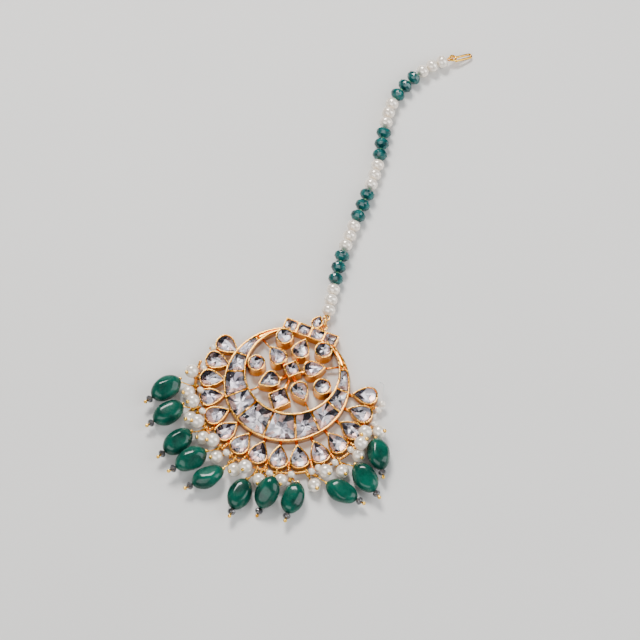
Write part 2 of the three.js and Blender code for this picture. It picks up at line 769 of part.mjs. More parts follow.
// Thread and beads as one skin: rings round the route, as wide as the thread or the bead there.
function beadString() {
  const thread = threadWire / 2;
  const start = new THREE.Vector3(firstEyePlace.x, firstEyePlace.y + sideLoopReach, stringHeight);
  const rings = [{ middle: start, run: runOnString(0), radius: thread }];
  for (const bead of beadPlaces) {
    const belt = (stringRondelleLength * rondelleBelt) / 2;
    const profile = bead.pearl
      ? roundProfile(stringPearlSize, stringPearlLength, bead.distance)
      : [[thread, bead.distance - bead.length / 2], [stringRondelleSize / 2, bead.distance - belt],
        [stringRondelleSize / 2, bead.distance + belt], [thread, bead.distance + bead.length / 2]];
    const shared = bead.pearl && bead.touching ? 1 : 0;
    for (const [radius, distance] of profile.slice(shared)) {
      rings.push({ middle: pointOnString(distance), run: runOnString(distance), radius });
    }
  }
  rings.push({ middle: pointOnString(stringEnd), run: runOnString(stringEnd), radius: thread });
  const run = runOnString(stringEnd);
  const eyePlace = pointOnString(stringEnd).addScaledVector(run, hookEyeReach);
  const endEye = wireRing(hookEyeReach, loopWire).rotateX(Math.PI / 2)
    .rotateZ(Math.atan2(run.y, run.x)).translate(eyePlace.x, eyePlace.y, eyePlace.z);
  const firstEye = flatLoop(sideLoopReach, loopWire, firstEyePlace, jumpRingHeight);
  return geometryOf(join([skin(rings), firstEye, endEye].map(solid)));
}

// The hook in its own plane along +Y, its eye's middle at the origin.
function hairHook() {
  const bendRadius = (hookWidth - hookWire) / 2;
  const straight = hookLength - bendRadius;
  const at = (x, y) => new THREE.Vector3(x, y, 0);
  const bend = Array.from({ length: hookBendSteps + 1 }, (unused, i) => {
    const angle = Math.PI - (Math.PI * i) / hookBendSteps;
    return at(bendRadius * (1 + Math.cos(angle)), straight + bendRadius * Math.sin(angle));
  });
  const path = new THREE.CatmullRomCurve3([
    at(0, hookEyeReach),
    at(0, straight / 2),
    ...bend,
    at(2 * bendRadius, straight / 2),
    at(2 * bendRadius, straight - hookLength * hookReturnShare),
  ], false, 'centripetal');
  const hook = join([
    solid(wire(path, hookWire, hookSteps)),
    solid(wireRing(hookEyeReach, hookWire)),
  ]);
  const run = runOnString(stringEnd);
  const slope = THREE.MathUtils.degToRad(hookSlope);
  const fall = run.clone().multiplyScalar(Math.cos(slope));
  fall.z = -Math.sin(slope);
  const eyeMiddle = pointOnString(stringEnd).addScaledVector(run, hookEyeReach)
    .addScaledVector(fall, hookEyeReach);
  const geometry = geometryOf(hook);
  geometry.rotateX(-slope);
  geometry.rotateZ(Math.atan2(run.y, run.x) - Math.PI / 2);
  return geometry.translate(eyeMiddle.x, eyeMiddle.y, eyeMiddle.z);
}

// Assembly

const model = new THREE.Group();

function addPiece(name, geometry, material) {
  const mesh = new THREE.Mesh(geometry, material);
  mesh.name = name;
  model.add(mesh);
}

const cups = [
  ...clusterRows.map(clusterCup),
  ...partitionBearings.slice(1).map((unused, i) => crescentCell(i)),
  ...Array.from({ length: barCells }, (unused, i) => barCell(i)),
  marquiseCup(),
];

function goldSetting() {
  const barOutline = [[-1, -1], [1, -1], [1, 1], [-1, 1]].map(([x, y]) => new THREE.Vector2(
    barCentre.x + (x * barWidth) / 2,
    barCentre.y + (y * barDepth) / 2,
  ));
  const metal = join([
    ringAndCrescent(),
    solid(prism(barOutline, 0, barHeight)),
    ...clusterTies(),
    ...cups.filter(({ block }) => block).map(({ block }) => block),
  ]);
  const withPockets = metal.subtract(join(cups.map(({ pocket }) => pocket)));
  const sideLoop = flatLoop(sideLoopReach, loopWire, sideLoopPlace, jumpRingHeight);
  return geometryOf(join([withPockets, solid(sideLoop), ...petalRow()]));
}

addPiece('gold_setting', goldSetting(), gold);
for (const { name, stone } of cups) addPiece(name, closed(stone), crystal);
addPiece('pearl_fringe_left', pearlFringe(-1), pearl);
addPiece('pearl_fringe_right', pearlFringe(1), pearl);
dropRows.forEach((row, i) => addPiece(`green_drop_${i + 1}`, greenDrop(row), emerald));
addPiece('jump_ring', jumpRing(), gold);
addPiece('bead_string', beadString(), beads);
addPiece('hair_hook', hairHook(), gold);

export default model;
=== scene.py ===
import bpy
import numpy as np
from mathutils import Matrix


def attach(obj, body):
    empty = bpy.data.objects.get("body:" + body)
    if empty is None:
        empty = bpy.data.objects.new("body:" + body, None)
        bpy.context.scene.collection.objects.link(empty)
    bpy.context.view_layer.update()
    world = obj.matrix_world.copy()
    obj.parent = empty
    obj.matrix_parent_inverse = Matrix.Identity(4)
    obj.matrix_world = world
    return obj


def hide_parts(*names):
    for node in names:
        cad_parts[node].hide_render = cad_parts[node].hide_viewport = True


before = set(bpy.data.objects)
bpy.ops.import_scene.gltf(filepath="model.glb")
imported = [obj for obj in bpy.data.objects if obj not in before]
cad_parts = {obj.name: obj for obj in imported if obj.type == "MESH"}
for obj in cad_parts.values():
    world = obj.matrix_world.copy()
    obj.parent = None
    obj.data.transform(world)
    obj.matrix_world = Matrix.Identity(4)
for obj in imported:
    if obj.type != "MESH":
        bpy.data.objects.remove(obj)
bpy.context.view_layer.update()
mm = 0.001
print("frame loaded:", len(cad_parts), "nodes")


# Shape kit. Sizes are in mm. A shape is its points, its four-cornered faces and its three-cornered ones.

def unit(vectors):
    # each vector divided by its own length
    return vectors / np.linalg.norm(vectors, axis=-1, keepdims=True)


def bandFaces(rows, count, wrap):
    # quads between neighbouring rows of points: each row closes on itself, and the rows too if they wrap
    row = np.arange(rows if wrap else rows - 1)[:, None]
    step = np.arange(count)[None, :]
    nextRow = (row + 1) % rows
    nextStep = (step + 1) % count
    corners = [row * count + step, row * count + nextStep, nextRow * count + nextStep, nextRow * count + step]
    return np.stack(np.broadcast_arrays(*corners), -1).reshape(-1, 4)


def endFans(rows, count):
    # triangles from the first and the last row to their two middle points
    step = np.arange(count)
    following = (step + 1) % count
    first = np.full(count, rows * count)
    top = (rows - 1) * count
    return np.concatenate([
        np.stack([first, following, step], -1),
        np.stack([first + 1, top + step, top + following], -1),
    ])


def closedSkin(rows):
    # rows x count x 3 points as a skin, its first and last rows closed at their middles
    rowCount, count = rows.shape[:2]
    points = np.concatenate([rows.reshape(-1, 3), rows[:1].mean(1), rows[-1:].mean(1)])
    return points, bandFaces(rowCount, count, False), endFans(rowCount, count)


def loopedSkin(rows):
    # rows x count x 3 points as a skin that closes on itself both ways
    return rows.reshape(-1, 3), bandFaces(*rows.shape[:2], True), np.empty((0, 3), int)


def facetedSkin(rows):
    # as a closed skin, but each row lies half a step further on, and triangles zigzag between rows
    rowCount, count = rows.shape[:2]
    points = np.concatenate([rows.reshape(-1, 3), rows[:1].mean(1), rows[-1:].mean(1)])
    a, b, c, d = bandFaces(rowCount, count, False).T
    zigzag = np.concatenate([np.stack([a, b, d], -1), np.stack([b, c, d], -1)])
    return points, np.empty((0, 4), int), np.concatenate([zigzag, endFans(rowCount, count)])


def joined(shapes):
    # several shapes as one, each one's corner numbers moved past the points before it
    starts = np.cumsum([0] + [len(points) for points, quads, tris in shapes])
    return (
        np.concatenate([points for points, quads, tris in shapes]),
        np.concatenate([quads + start for (points, quads, tris), start in zip(shapes, starts)]),
        np.concatenate([tris + start for (points, quads, tris), start in zip(shapes, starts)]),
    )


def placed(shape, origin, axis, up=(0.0, 0.0, 1.0)):
    # a shape made on the z axis, its z turned onto the axis and its y as near to up as it goes
    axis = unit(np.asarray(axis, float))
    side = unit(np.cross(up, axis))
    basis = np.stack([side, np.cross(axis, side), axis])
    return shape[0] @ basis + np.asarray(origin, float), shape[1], shape[2]


def atBearing(centre, radius, bearing):
    # the point at a bearing in degrees from -Y, positive towards +X
    angle = np.radians(bearing)
    return np.stack([centre[0] + radius * np.sin(angle), centre[1] - radius * np.cos(angle)], -1)


def turnedLine(line, degrees):
    # an outline turned about the origin
    angle = np.radians(degrees)
    turn = np.array([[np.cos(angle), np.sin(angle)], [-np.sin(angle), np.cos(angle)]])
    return line @ turn


def insetLine(line, distance):
    # every point of a counter-clockwise outline moved inwards along its mitre
    edges = unit(np.roll(line, -1, 0) - line)
    normals = np.stack([edges[:, 1], -edges[:, 0]], 1)
    before = np.roll(normals, 1, 0)
    mitre = (normals + before) / (1 + (normals * before).sum(1, keepdims=True))
    return line - np.reshape(distance, (-1, 1)) * mitre


def softLine(corners, radius, steps=5):
    # an outline whose corners are quadratic curves that start and end a radius away from them
    before = corners + radius * unit(np.roll(corners, 1, 0) - corners)
    after = corners + radius * unit(np.roll(corners, -1, 0) - corners)
    t = np.linspace(0, 1, steps)[None, :, None]
    curve = (1 - t) ** 2 * before[:, None] + 2 * t * (1 - t) * corners[:, None] + t ** 2 * after[:, None]
    return curve.reshape(-1, 2)


def evenLine(line, count):
    # the same outline with its points spread evenly along it
    closedLine = np.vstack([line, line[:1]])
    along = np.concatenate([[0], np.cumsum(np.linalg.norm(np.diff(closedLine, axis=0), axis=1))])
    at = np.linspace(0, along[-1], count, endpoint=False)
    return np.stack([np.interp(at, along, closedLine[:, k]) for k in range(2)], 1)


def liftedRows(line, rows):
    # rows of (inset, share, height): the outline pulled in by inset, then drawn to its middle by share
    middle = line.mean(0)
    flat = [insetLine(line, inset) * (1 - share) + middle * share for inset, share, height in rows]
    heights = [np.full((len(line), 1), height) for inset, share, height in rows]
    return np.stack([np.hstack([outline, height]) for outline, height in zip(flat, heights)])


def wallSection(width, bottom, top, soft=0.2):
    # a wall's section with a rounded top, as offsets to the right of its path and heights
    arc = np.linspace(np.pi, 0, 9)
    crown = np.stack([width / 2 * np.cos(arc), top - soft + soft * np.sin(arc)], 1)
    foot = np.array([[width / 2, bottom], [-width / 2, bottom]])
    return np.vstack([crown, foot])


def wallRows(path, section, closed):
    # the section set upright across the path at each of its points
    run = np.roll(path, -1, 0) - np.roll(path, 1, 0) if closed else np.gradient(path, axis=0)
    run = unit(run)
    right = np.stack([run[:, 1], -run[:, 0]], 1)
    flat = path[:, None] + right[:, None] * section[None, :, :1]
    heights = np.broadcast_to(section[None, :, 1:], flat.shape[:2] + (1,))
    return np.concatenate([flat, heights], -1)


def straightWall(start, end, width, bottom, top, soft=0.2):
    # a wall between two points, with its ends square
    path = np.array([start, end])
    return closedSkin(wallRows(path, wallSection(width, bottom, top, soft), False))


def circleLine(radius, count, centre=(0, 0)):
    # points round a circle, counter-clockwise from +X
    angle = np.linspace(0, 2 * np.pi, count, endpoint=False)
    return np.stack([centre[0] + radius * np.cos(angle), centre[1] + radius * np.sin(angle)], 1)


def wireRows(path, radius, sides, closed=False, up=(0.0, 0.0, 1.0)):
    # a round section of the given radius set across a 3-D path at each of its points
    run = np.roll(path, -1, 0) - np.roll(path, 1, 0) if closed else np.gradient(path, axis=0)
    run = unit(run)
    side = unit(np.cross(up, run))
    top = np.cross(run, side)
    angle = np.linspace(0, 2 * np.pi, sides, endpoint=False)
    radius = np.reshape(radius, (-1, 1, 1)) * np.ones((len(path), 1, 1))
    return path[:, None] + radius * (
        side[:, None] * np.cos(angle)[None, :, None] + top[:, None] * np.sin(angle)[None, :, None])


def wire(path, diameter, sides=10, up=(0.0, 0.0, 1.0)):
    # a wire along an open path
    return closedSkin(wireRows(np.asarray(path, float), diameter / 2, sides, False, up))


def wireRing(centre, axis, reach, diameter, sides=10, count=28):
    # a torus of wire: a circle of radius reach across the axis, swept by the wire's section
    flat = circleLine(reach, count)
    path = np.hstack([flat, np.zeros((count, 1))])
    return placed(loopedSkin(wireRows(path, diameter / 2, sides, True)), centre, axis, (0.0, 0.0, 1.0)
                  if abs(axis[2]) < 0.9 else (0.0, 1.0, 0.0))


def smoothRoute(points, steps=40):
    # a cubic between each two points, whose slopes are those of a centripetal Catmull-Rom curve
    padded = np.vstack([2 * points[0] - points[1], points, 2 * points[-1] - points[-2]])
    step = np.diff(padded, axis=0)
    gap = np.sqrt(np.linalg.norm(step, axis=1))[:, None]
    slope = (step / gap)[:-1] - (padded[2:] - padded[:-2]) / (gap[1:] + gap[:-1]) + (step / gap)[1:]
    t = np.linspace(0, 1, steps, endpoint=False)[None, :, None]
    a, b = points[:-1, None], points[1:, None]
    slopeA, slopeB = (slope[:-1] * gap[1:-1])[:, None], (slope[1:] * gap[1:-1])[:, None]
    curve = ((2 * t ** 3 - 3 * t ** 2 + 1) * a + (t ** 3 - 2 * t ** 2 + t) * slopeA
             + (3 * t ** 2 - 2 * t ** 3) * b + (t ** 3 - t ** 2) * slopeB)
    return np.vstack([curve.reshape(-1, points.shape[1]), points[-1:]])


def ballRows(width, length, count, rows, power=2.0):
    # radius = half width * (1 - s^power)^(1/power) at the height s * half length
    s = np.sin(np.linspace(-np.pi / 2, np.pi / 2, rows + 2)[1:-1])
    radius = width / 2 * (1 - np.abs(s) ** power) ** (1 / power)
    angle = np.linspace(0, 2 * np.pi, count, endpoint=False)
    x = radius[:, None] * np.cos(angle)
    y = radius[:, None] * np.sin(angle)
    z = np.broadcast_to((s * length / 2)[:, None], x.shape)
    return np.stack([x, y, z], -1)


def ball(centre, size, count=20, rows=10):
    # a round ball
    points, quads, tris = closedSkin(ballRows(size, size, count, rows))
    return points + np.asarray(centre, float), quads, tris


# Materials. The groups give colours, masks, values and normals that change over the surface.

def newGroup(name, inputs, outputs):
    # a shader node group with named sockets
    group = bpy.data.node_groups.new(name, "ShaderNodeTree")
    for socketName, kind, value in inputs:
        socket = group.interface.new_socket(name=socketName, in_out="INPUT", socket_type=kind)
        socket.default_value = value
    for socketName, kind in outputs:
        group.interface.new_socket(name=socketName, in_out="OUTPUT", socket_type=kind)
    return group, group.nodes.new("NodeGroupInput"), group.nodes.new("NodeGroupOutput")


def mathNode(tree, operation, *values, clamp=False):
    # a math node, each of its values a number or another node's output
    node = tree.nodes.new("ShaderNodeMath")
    node.operation = operation
    node.use_clamp = clamp
    for socket, value in zip(node.inputs, values):
        if isinstance(value, float):
            socket.default_value = value
        else:
            tree.links.new(value, socket)
    return node.outputs[0]


def blend(tree, factor, first, second):
    # from the first colour to the second one, which may be another node's output
    mix = tree.nodes.new("ShaderNodeMix")
    mix.data_type = "RGBA"
    tree.links.new(factor, mix.inputs["Factor"])
    mix.inputs["A"].default_value = (*first, 1)
    if isinstance(second, tuple):
        mix.inputs["B"].default_value = (*second, 1)
    else:
        tree.links.new(second, mix.inputs["B"])
    return mix.outputs["Result"]


mottleSockets = ["Broad Scale", "Fine Scale", "Contrast", "Bump Strength", "Bump Distance"]


def makeMottle():
    # two sizes of noise on object coordinates: one broad mask, one fine mask, and a bump from both
    group, given, made = newGroup(
        "mottle", [(socketName, "NodeSocketFloat", 0.0) for socketName in mottleSockets],
        [("Broad", "NodeSocketFloat"), ("Fine", "NodeSocketFloat"), ("Normal", "NodeSocketVector")],
    )
    nodes, links = group.nodes, group.links
    place = nodes.new("ShaderNodeTexCoord")
    contrast = mathNode(group, "MULTIPLY", given.outputs["Contrast"], 4.0)
    masks = []
    for scaleName, detail, outName in [("Broad Scale", 2.0, "Broad"), ("Fine Scale", 4.0, "Fine")]:
        noise = nodes.new("ShaderNodeTexNoise")
        noise.inputs["Detail"].default_value = detail
        links.new(place.outputs["Object"], noise.inputs["Vector"])
        links.new(given.outputs[scaleName], noise.inputs["Scale"])
        centred = mathNode(group, "SUBTRACT", noise.outputs["Fac"], 0.5)
        # (noise - 0.5) * contrast * 4 + 0.5, kept in 0..1
        masks.append(mathNode(group, "MULTIPLY_ADD", centred, contrast, 0.5, clamp=True))
        links.new(masks[-1], made.inputs[outName])
    bump = nodes.new("ShaderNodeBump")
    links.new(given.outputs["Bump Strength"], bump.inputs["Strength"])
    links.new(given.outputs["Bump Distance"], bump.inputs["Distance"])
    links.new(mathNode(group, "ADD", *masks), bump.inputs["Height"])
    links.new(bump.outputs["Normal"], made.inputs["Normal"])
    return group


mottle = makeMottle()


def newMaterial(name, settings):
    # a Principled material: two colours and two roughnesses mixed by the mottle's masks
    material = bpy.data.materials.new(name)
    material.use_nodes = True
    tree = material.node_tree
    nodes, links = tree.nodes, tree.links
    shader = nodes["Principled BSDF"]
    for socketName, value in settings["fixed"].items():
        shader.inputs[socketName].default_value = value
    texture = nodes.new("ShaderNodeGroup")
    texture.node_tree = mottle
    for socketName, value in zip(mottleSockets, settings["mottle"]):
        texture.inputs[socketName].default_value = value
    colour = blend(tree, texture.outputs["Broad"], settings["dark"], settings["light"])
    # where a piece's own attribute is near 0, painted light: by the first attribute, painted shade on gold
    # towards the floor and a painted pink reflection of the gold on foil; by the second, the foil's painted
    # dark reflections
    for key, attribute in [("paintedLightColour", "paintedLightMix"), ("shadow", "bright")]:
        if key in settings:
            amount = nodes.new("ShaderNodeAttribute")
            amount.attribute_name = attribute
            colour = blend(tree, amount.outputs["Fac"], settings[key], colour)
    links.new(colour, shader.inputs["Base Color"])
    rough = nodes.new("ShaderNodeMapRange")
    rough.inputs["To Min"].default_value, rough.inputs["To Max"].default_value = settings["roughness"]
    links.new(texture.outputs["Fine"], rough.inputs["Value"])
    links.new(rough.outputs["Result"], shader.inputs["Roughness"])
    links.new(texture.outputs["Normal"], shader.inputs["Normal"])
    return material


finishes = {      # each mottle lists its values in the order of mottleSockets
    "warmGold": {
        # its third colour is painted shade, laid on the gold's low walls towards the floor
        "light": (1.0, 0.58, 0.13), "dark": (0.93, 0.44, 0.07), "paintedLightColour": (0.78, 0.31, 0.03),
        "roughness": (0.08, 0.22), "fixed": {"Metallic": 1.0},
        "mottle": (420.0, 1800.0, 0.7, 0.2, 0.0001),
    },
    "yellowGold": {
        # its third colour is painted shade, laid on the gold's low walls towards the floor
        "light": (1.0, 0.64, 0.10), "dark": (0.90, 0.46, 0.05), "paintedLightColour": (0.66, 0.29, 0.02),
        "roughness": (0.06, 0.2), "fixed": {"Metallic": 1.0},
        "mottle": (600.0, 2400.0, 0.6, 0.3, 0.00008),
    },
    "silverFoil": {
        # its third colour is a painted pink reflection of the gold by the foil's edge, and its shadow colour is
        # a painted dark reflection
        "light": (1.0, 0.98, 1.0), "dark": (0.84, 0.76, 0.87), "paintedLightColour": (1.0, 0.50, 0.36),
        "shadow": (0.02, 0.02, 0.028),
        "roughness": (0.2, 0.4), "fixed": {"Metallic": 0.8, "Specular IOR Level": 0.5},
        "mottle": (200.0, 500.0, 0.5, 0.04, 0.00004),
    },
    "cutCrystal": {
        "light": (1.0, 1.0, 1.0), "dark": (0.98, 0.97, 1.0),
        "roughness": (0.0, 0.02), "fixed": {"Metallic": 0.0, "Transmission Weight": 1.0, "IOR": 1.16},
        "mottle": (400.0, 1500.0, 0.6, 0.01, 0.00002),
    },
    # a crystal painted dark: its dark base colour stands in for dark surroundings seen through it and reflected
    # in it
    "crystalPaintedDark": {
        "light": (0.16, 0.155, 0.165), "dark": (0.03, 0.03, 0.035),
        "roughness": (0.0, 0.03), "fixed": {"Metallic": 0.0, "Transmission Weight": 0.5, "IOR": 1.8},
        "mottle": (400.0, 1500.0, 0.8, 0.03, 0.00002),
    },
    "pearlLustre": {
        "light": (0.98, 0.90, 0.78), "dark": (0.88, 0.76, 0.63),
        "roughness": (0.18, 0.28),
        "fixed": {"Metallic": 0.3, "Coat Weight": 1.0, "Coat Roughness": 0.12, "Coat IOR": 1.8,
                  "Specular IOR Level": 0.6},
        "mottle": (180.0, 900.0, 0.5, 0.015, 0.00003),
    },
    "emeraldStone": {
        "light": (0.0, 0.092, 0.058), "dark": (0.0, 0.030, 0.020),
        "roughness": (0.2, 0.34),
        "fixed": {"Metallic": 0.0, "Specular IOR Level": 0.12, "Coat Weight": 0.6, "Coat Roughness": 0.05,
                  "Coat IOR": 1.42},
        "mottle": (210.0, 1300.0, 0.8, 0.04, 0.00005),
    },
    "tealCrystal": {
        "light": (0.003, 0.15, 0.14), "dark": (0.001, 0.05, 0.052),
        "roughness": (0.03, 0.12),
        "fixed": {"Metallic": 0.0, "Transmission Weight": 0.2, "IOR": 1.55},
        "mottle": (500.0, 1500.0, 0.9, 0.05, 0.00004),
    },
    "twistedThread": {
        "light": (0.20, 0.52, 0.22), "dark": (0.06, 0.26, 0.12),
        "roughness": (0.4, 0.6), "fixed": {"Metallic": 0.2},
        "mottle": (900.0, 4000.0, 1.0, 0.5, 0.0001),
    },
    "clearThread": {
        "light": (0.95, 0.95, 0.95), "dark": (0.88, 0.88, 0.88),
        "roughness": (0.08, 0.2), "fixed": {"Metallic": 0.0, "Transmission Weight": 0.3, "IOR": 1.45},
        "mottle": (300.0, 1000.0, 0.5, 0.02, 0.00002),
    },
    "paleFloor": {
        "light": (0.74, 0.73, 0.71), "dark": (0.70, 0.69, 0.67),
        "roughness": (0.55, 0.7), "fixed": {"Metallic": 0.0, "Specular IOR Level": 0.3},
        "mottle": (12.0, 300.0, 0.4, 0.05, 0.0001),
    },
}
materials = {name: newMaterial(name, settings) for name, settings in finishes.items()}
print("materials made:", len(materials))


def addPiece(name, shape, finish, nodes=(), smooth=True, rim=None, extra=None, extraFinish=None,
             facets=None):
    # a shape as a piece in metres that rides on the root body; extra is a second shape with its own finish,
    # and facets gives named values to its faces
    both = shape if extra is None else joined([shape, extra])
    points, quads, tris = both
    mesh = bpy.data.meshes.new(name)
    mesh.vertices.add(len(points))
    mesh.vertices.foreach_set("co", (points * mm).astype(np.float32).ravel())
    mesh.loops.add(quads.size + tris.size)
    mesh.loops.foreach_set("vertex_index", np.concatenate([quads.ravel(), tris.ravel()]).astype(np.int32))
    mesh.polygons.add(len(quads) + len(tris))
    starts = np.concatenate([4 * np.arange(len(quads)), 4 * len(quads) + 3 * np.arange(len(tris))])
    mesh.polygons.foreach_set("loop_start", starts.astype(np.int32))
    mesh.polygons.foreach_set("use_smooth", np.full(len(starts), smooth))
    mesh.materials.append(materials[finish])
    if extra is not None:
        mesh.materials.append(materials[extraFinish])
        firstExtra = len(shape[0])
        second = np.concatenate([quads[:, 0] >= firstExtra, tris[:, 0] >= firstExtra])
        mesh.polygons.foreach_set("material_index", second.astype(np.int32))
    mesh.update(calc_edges=True)
    # painted shade: the lower a gold point sits below the rim height, the more of the painted shade colour it
    # gets
    if rim is not None:         # 0 on the floor, 1 at the rim
        paintedLightMix = mesh.attributes.new("paintedLightMix", "FLOAT", "POINT")
        paintedLightMix.data.foreach_set("value", np.clip(points[:, 2] / rim, 0, 1).astype(np.float32) ** 2)
    for attribute, values in (facets or {}).items():
        mesh.attributes.new(attribute, "FLOAT", "FACE").data.foreach_set("value", values.astype(np.float32))
    piece = bpy.data.objects.new(name, mesh)
    bpy.context.scene.collection.objects.link(piece)
    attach(piece, "root")
    if nodes:
        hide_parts(*nodes)
    return piece


def addGold(name, shape, nodes=(), rim=None, finish="warmGold"):
    # a gold piece with painted shade, deeper in colour towards the floor
    return addPiece(name, shape, finish, nodes, rim=rim)


# Ring, crescent tray and bar

ring = {"radius": 14.0, "wall": 0.6, "height": 3.0, "count": 160, "open": 24.0, "soft": 0.24}
crescent = {
    "width": 8.6, "wall": 0.6, "height": 2.6, "floor": 1.1, "count": 176, "plainFrom": 114.0, "plainDrop": 0.35,
    "partition": 0.54, "partitionSunk": 0.1,
    "bearings": [-114, -89, -68.6, -45, -25, 0, 25, 45, 68.6, 89, 114],
}
crescent["radius"] = ring["radius"] + crescent["width"] / 2
crescent["centre"] = (0.0, -crescent["width"] / 2)
crescent["edge"] = crescent["radius"] + crescent["wall"] / 2
bar = {"width": 17.3, "depth": 3.9, "height": 3.2, "wall": 0.6, "cells": 4, "centre": (0.3, 13.7)}


def crescentReach(bearing, radius):
    # how far the crescent's circle lies from the ring's middle along a bearing
    drop = -crescent["centre"][1] * np.cos(np.radians(bearing))
    return drop + np.sqrt(drop ** 2 - crescent["centre"][1] ** 2 + radius ** 2)


def cellLine(start, end, inset, arcSteps=10, sideSteps=4):
    # a crescent cell: an arc by the outer wall, a side, an arc by the ring and a side back
    inner = ring["radius"] + inset
    halfWall = lambda radius: np.degrees(np.arcsin(inset / radius))
    outerStart, outerEnd = start + halfWall(inner + 4), end - halfWall(inner + 4)
    t = np.linspace(0, 1, arcSteps)
    outerBearing = outerStart + (outerEnd - outerStart) * t
    outer = atBearing((0, 0), crescentReach(outerBearing, crescent["radius"] - inset), outerBearing)
    innerStart, innerEnd = start + halfWall(inner), end - halfWall(inner)
    innerArc = atBearing((0, 0), inner, innerEnd + (innerStart - innerEnd) * t)
    s = np.linspace(0, 1, sideSteps + 2)[1:-1, None]
    rightSide = outer[-1] + (innerArc[0] - outer[-1]) * s
    leftSide = innerArc[-1] + (outer[0] - innerArc[-1]) * s
    return np.vstack([outer, rightSide, innerArc, leftSide])


def makeTray():
    # two round walls, a crescent plate between them, and a wall on each bearing
    shapes = []
    for radius, centre, wall, top in [
        (ring["radius"], (0, 0), ring["wall"], ring["height"]),
        (crescent["radius"], crescent["centre"], crescent["wall"], crescent["height"]),
    ]:
        path = atBearing(centre, radius, np.linspace(ring["open"] - 180, 180 - ring["open"], ring["count"]))
        shapes.append(closedSkin(wallRows(path, wallSection(wall, 0, top, ring["soft"]), False)))
    bearing = np.linspace(-180, 180, crescent["count"], endpoint=False)
    outer = atBearing((0, 0), crescentReach(bearing, crescent["radius"]), bearing)
    inner = atBearing((0, 0), ring["radius"], bearing)
    plain = np.clip((np.abs(bearing) - crescent["plainFrom"]) / 3, 0, 1)[:, None]
    top = crescent["floor"] + (crescent["height"] - crescent["plainDrop"] - crescent["floor"]) * plain
    flat = np.zeros_like(top)
    section = [(outer, top), (outer, flat), (inner, flat), (inner, top)]
    shapes.append(loopedSkin(np.stack([np.hstack(corner) for corner in section], 1)))
    for place in crescent["bearings"]:
        near = atBearing((0, 0), ring["radius"], place)
        far = atBearing((0, 0), crescentReach(place, crescent["radius"]), place)
        bottom = crescent["floor"] - crescent["partitionSunk"]
        shapes.append(straightWall(near, far, crescent["partition"], bottom, crescent["height"], ring["soft"]))
    return joined(shapes)


addGold("ring_and_crescent", makeTray(), ["gold_setting"], 2.8)


# Cups. Each one is its outline carried up the outside, over the rim and down to the seat of its stone.

cup = {"wall": 0.42, "seat": 1.0, "soft": 0.22, "points": 96}
cluster = {
    "height": 4.2, "pear": (5.5, 6.8), "round": 5.3, "square": 3.15, "diamond": (7.6, 8.4), "diamondRise": 3.4,
    "flutes": 20, "flute": 0.2, "faintFlute": 0.04, "flare": 0.08,
    "arm": {"width": 1.1, "bottom": 0.3, "top": 1.5, "soft": 0.3},
    "roundArm": {"width": 0.9, "bottom": 0.3, "top": 1.3, "soft": 0.3},
    "spoke": {"width": 0.55, "bottom": 1.3, "top": 2.0, "soft": 0.3},
    "rows": [       # name, form, bearing clockwise from the top, share of the ring's radius, turn
        ("centre_square_stone", "square", 0, 0, 0),
        ("cluster_pear_stone_1", "pear", 0, 0.525, 0),
        ("cluster_pear_stone_2", "pear", 66.5, 0.47, 60),
        ("cluster_pear_stone_3", "pear", 139.5, 0.555, 136),
        ("cluster_pear_stone_4", "pear", -139.5, 0.555, -136),
        ("cluster_pear_stone_5", "pear", -66.5, 0.47, -56),
        ("cluster_round_stone_1", "round", -34, 0.79, 18),
        ("cluster_round_stone_2", "round", 34, 0.79, 18),
        ("cluster_round_stone_3", "round", 101, 0.75, 0),
        ("cluster_round_stone_4", "round", -101, 0.765, 0),
        ("lower_diamond_stone", "diamond", 180, 0.707, 0),
    ],
    "spokes": [-61, 61, -137.5, 136.5], "spokeFrom": 0.66,
}
petals = {
    "count": 15, "step": 15.0, "length": 7.7, "width": 5.8, "height": 2.4, "tipGap": 0.1,
    "jointReach": 1.3, "joint": {"width": 0.9, "bottom": 0.3, "top": 1.3, "soft": 0.35},
    "centre": (0.85, crescent["centre"][1] - 0.65),
}
petals["tipRadius"] = crescent["edge"] + petals["tipGap"]
petals["endRadius"] = petals["tipRadius"] + petals["length"]
petals["bearings"] = (np.arange(petals["count"]) - (petals["count"] - 1) / 2) * petals["step"]
marquise = {"width": 3.6, "length": 5.0, "height": 2.6, "turn": -2, "centre": (0.75, 17.65)}


def pearLine(width, length, count=cup["points"], belly=1.3):
    # a pear with its tip at +Y: x = w/2 * belly * sin t * sin(t/2), y = l/2 * cos t, counter-clockwise
    t = np.linspace(0, 2 * np.pi, 4 * count, endpoint=False)
    x = -width / 2 * belly * np.sin(t) * np.sin(t / 2)
    line = np.stack([x, length / 2 * np.cos(t)], 1)
    return evenLine(line, count)


def diamondLine(width, height):
    # a diamond with softened corners
    corners = np.array([[width / 2, 0], [0, height / 2], [-width / 2, 0], [0, -height / 2]])
    return evenLine(softLine(corners, 0.45), cup["points"])


def marquiseLine(width, length):
    # two parabolas between the tips: x = w/2 * (1 - (2y/l)^2)
    y = np.linspace(-1, 1, 40)
    right = np.stack([width / 2 * (1 - y ** 2), length / 2 * y], 1)
    return evenLine(np.vstack([right[:-1], -right[:-1]]), cup["points"])


def clusterLine(form):
    # the outline of each form of cluster cup
    if form == "pear":
        return pearLine(*cluster["pear"])
    if form == "round":
        return circleLine(cluster["round"] / 2, cup["points"])
    if form == "square":
        return diamondLine(2 * cluster["square"], 2 * cluster["square"])
    return diamondLine(*cluster["diamond"])


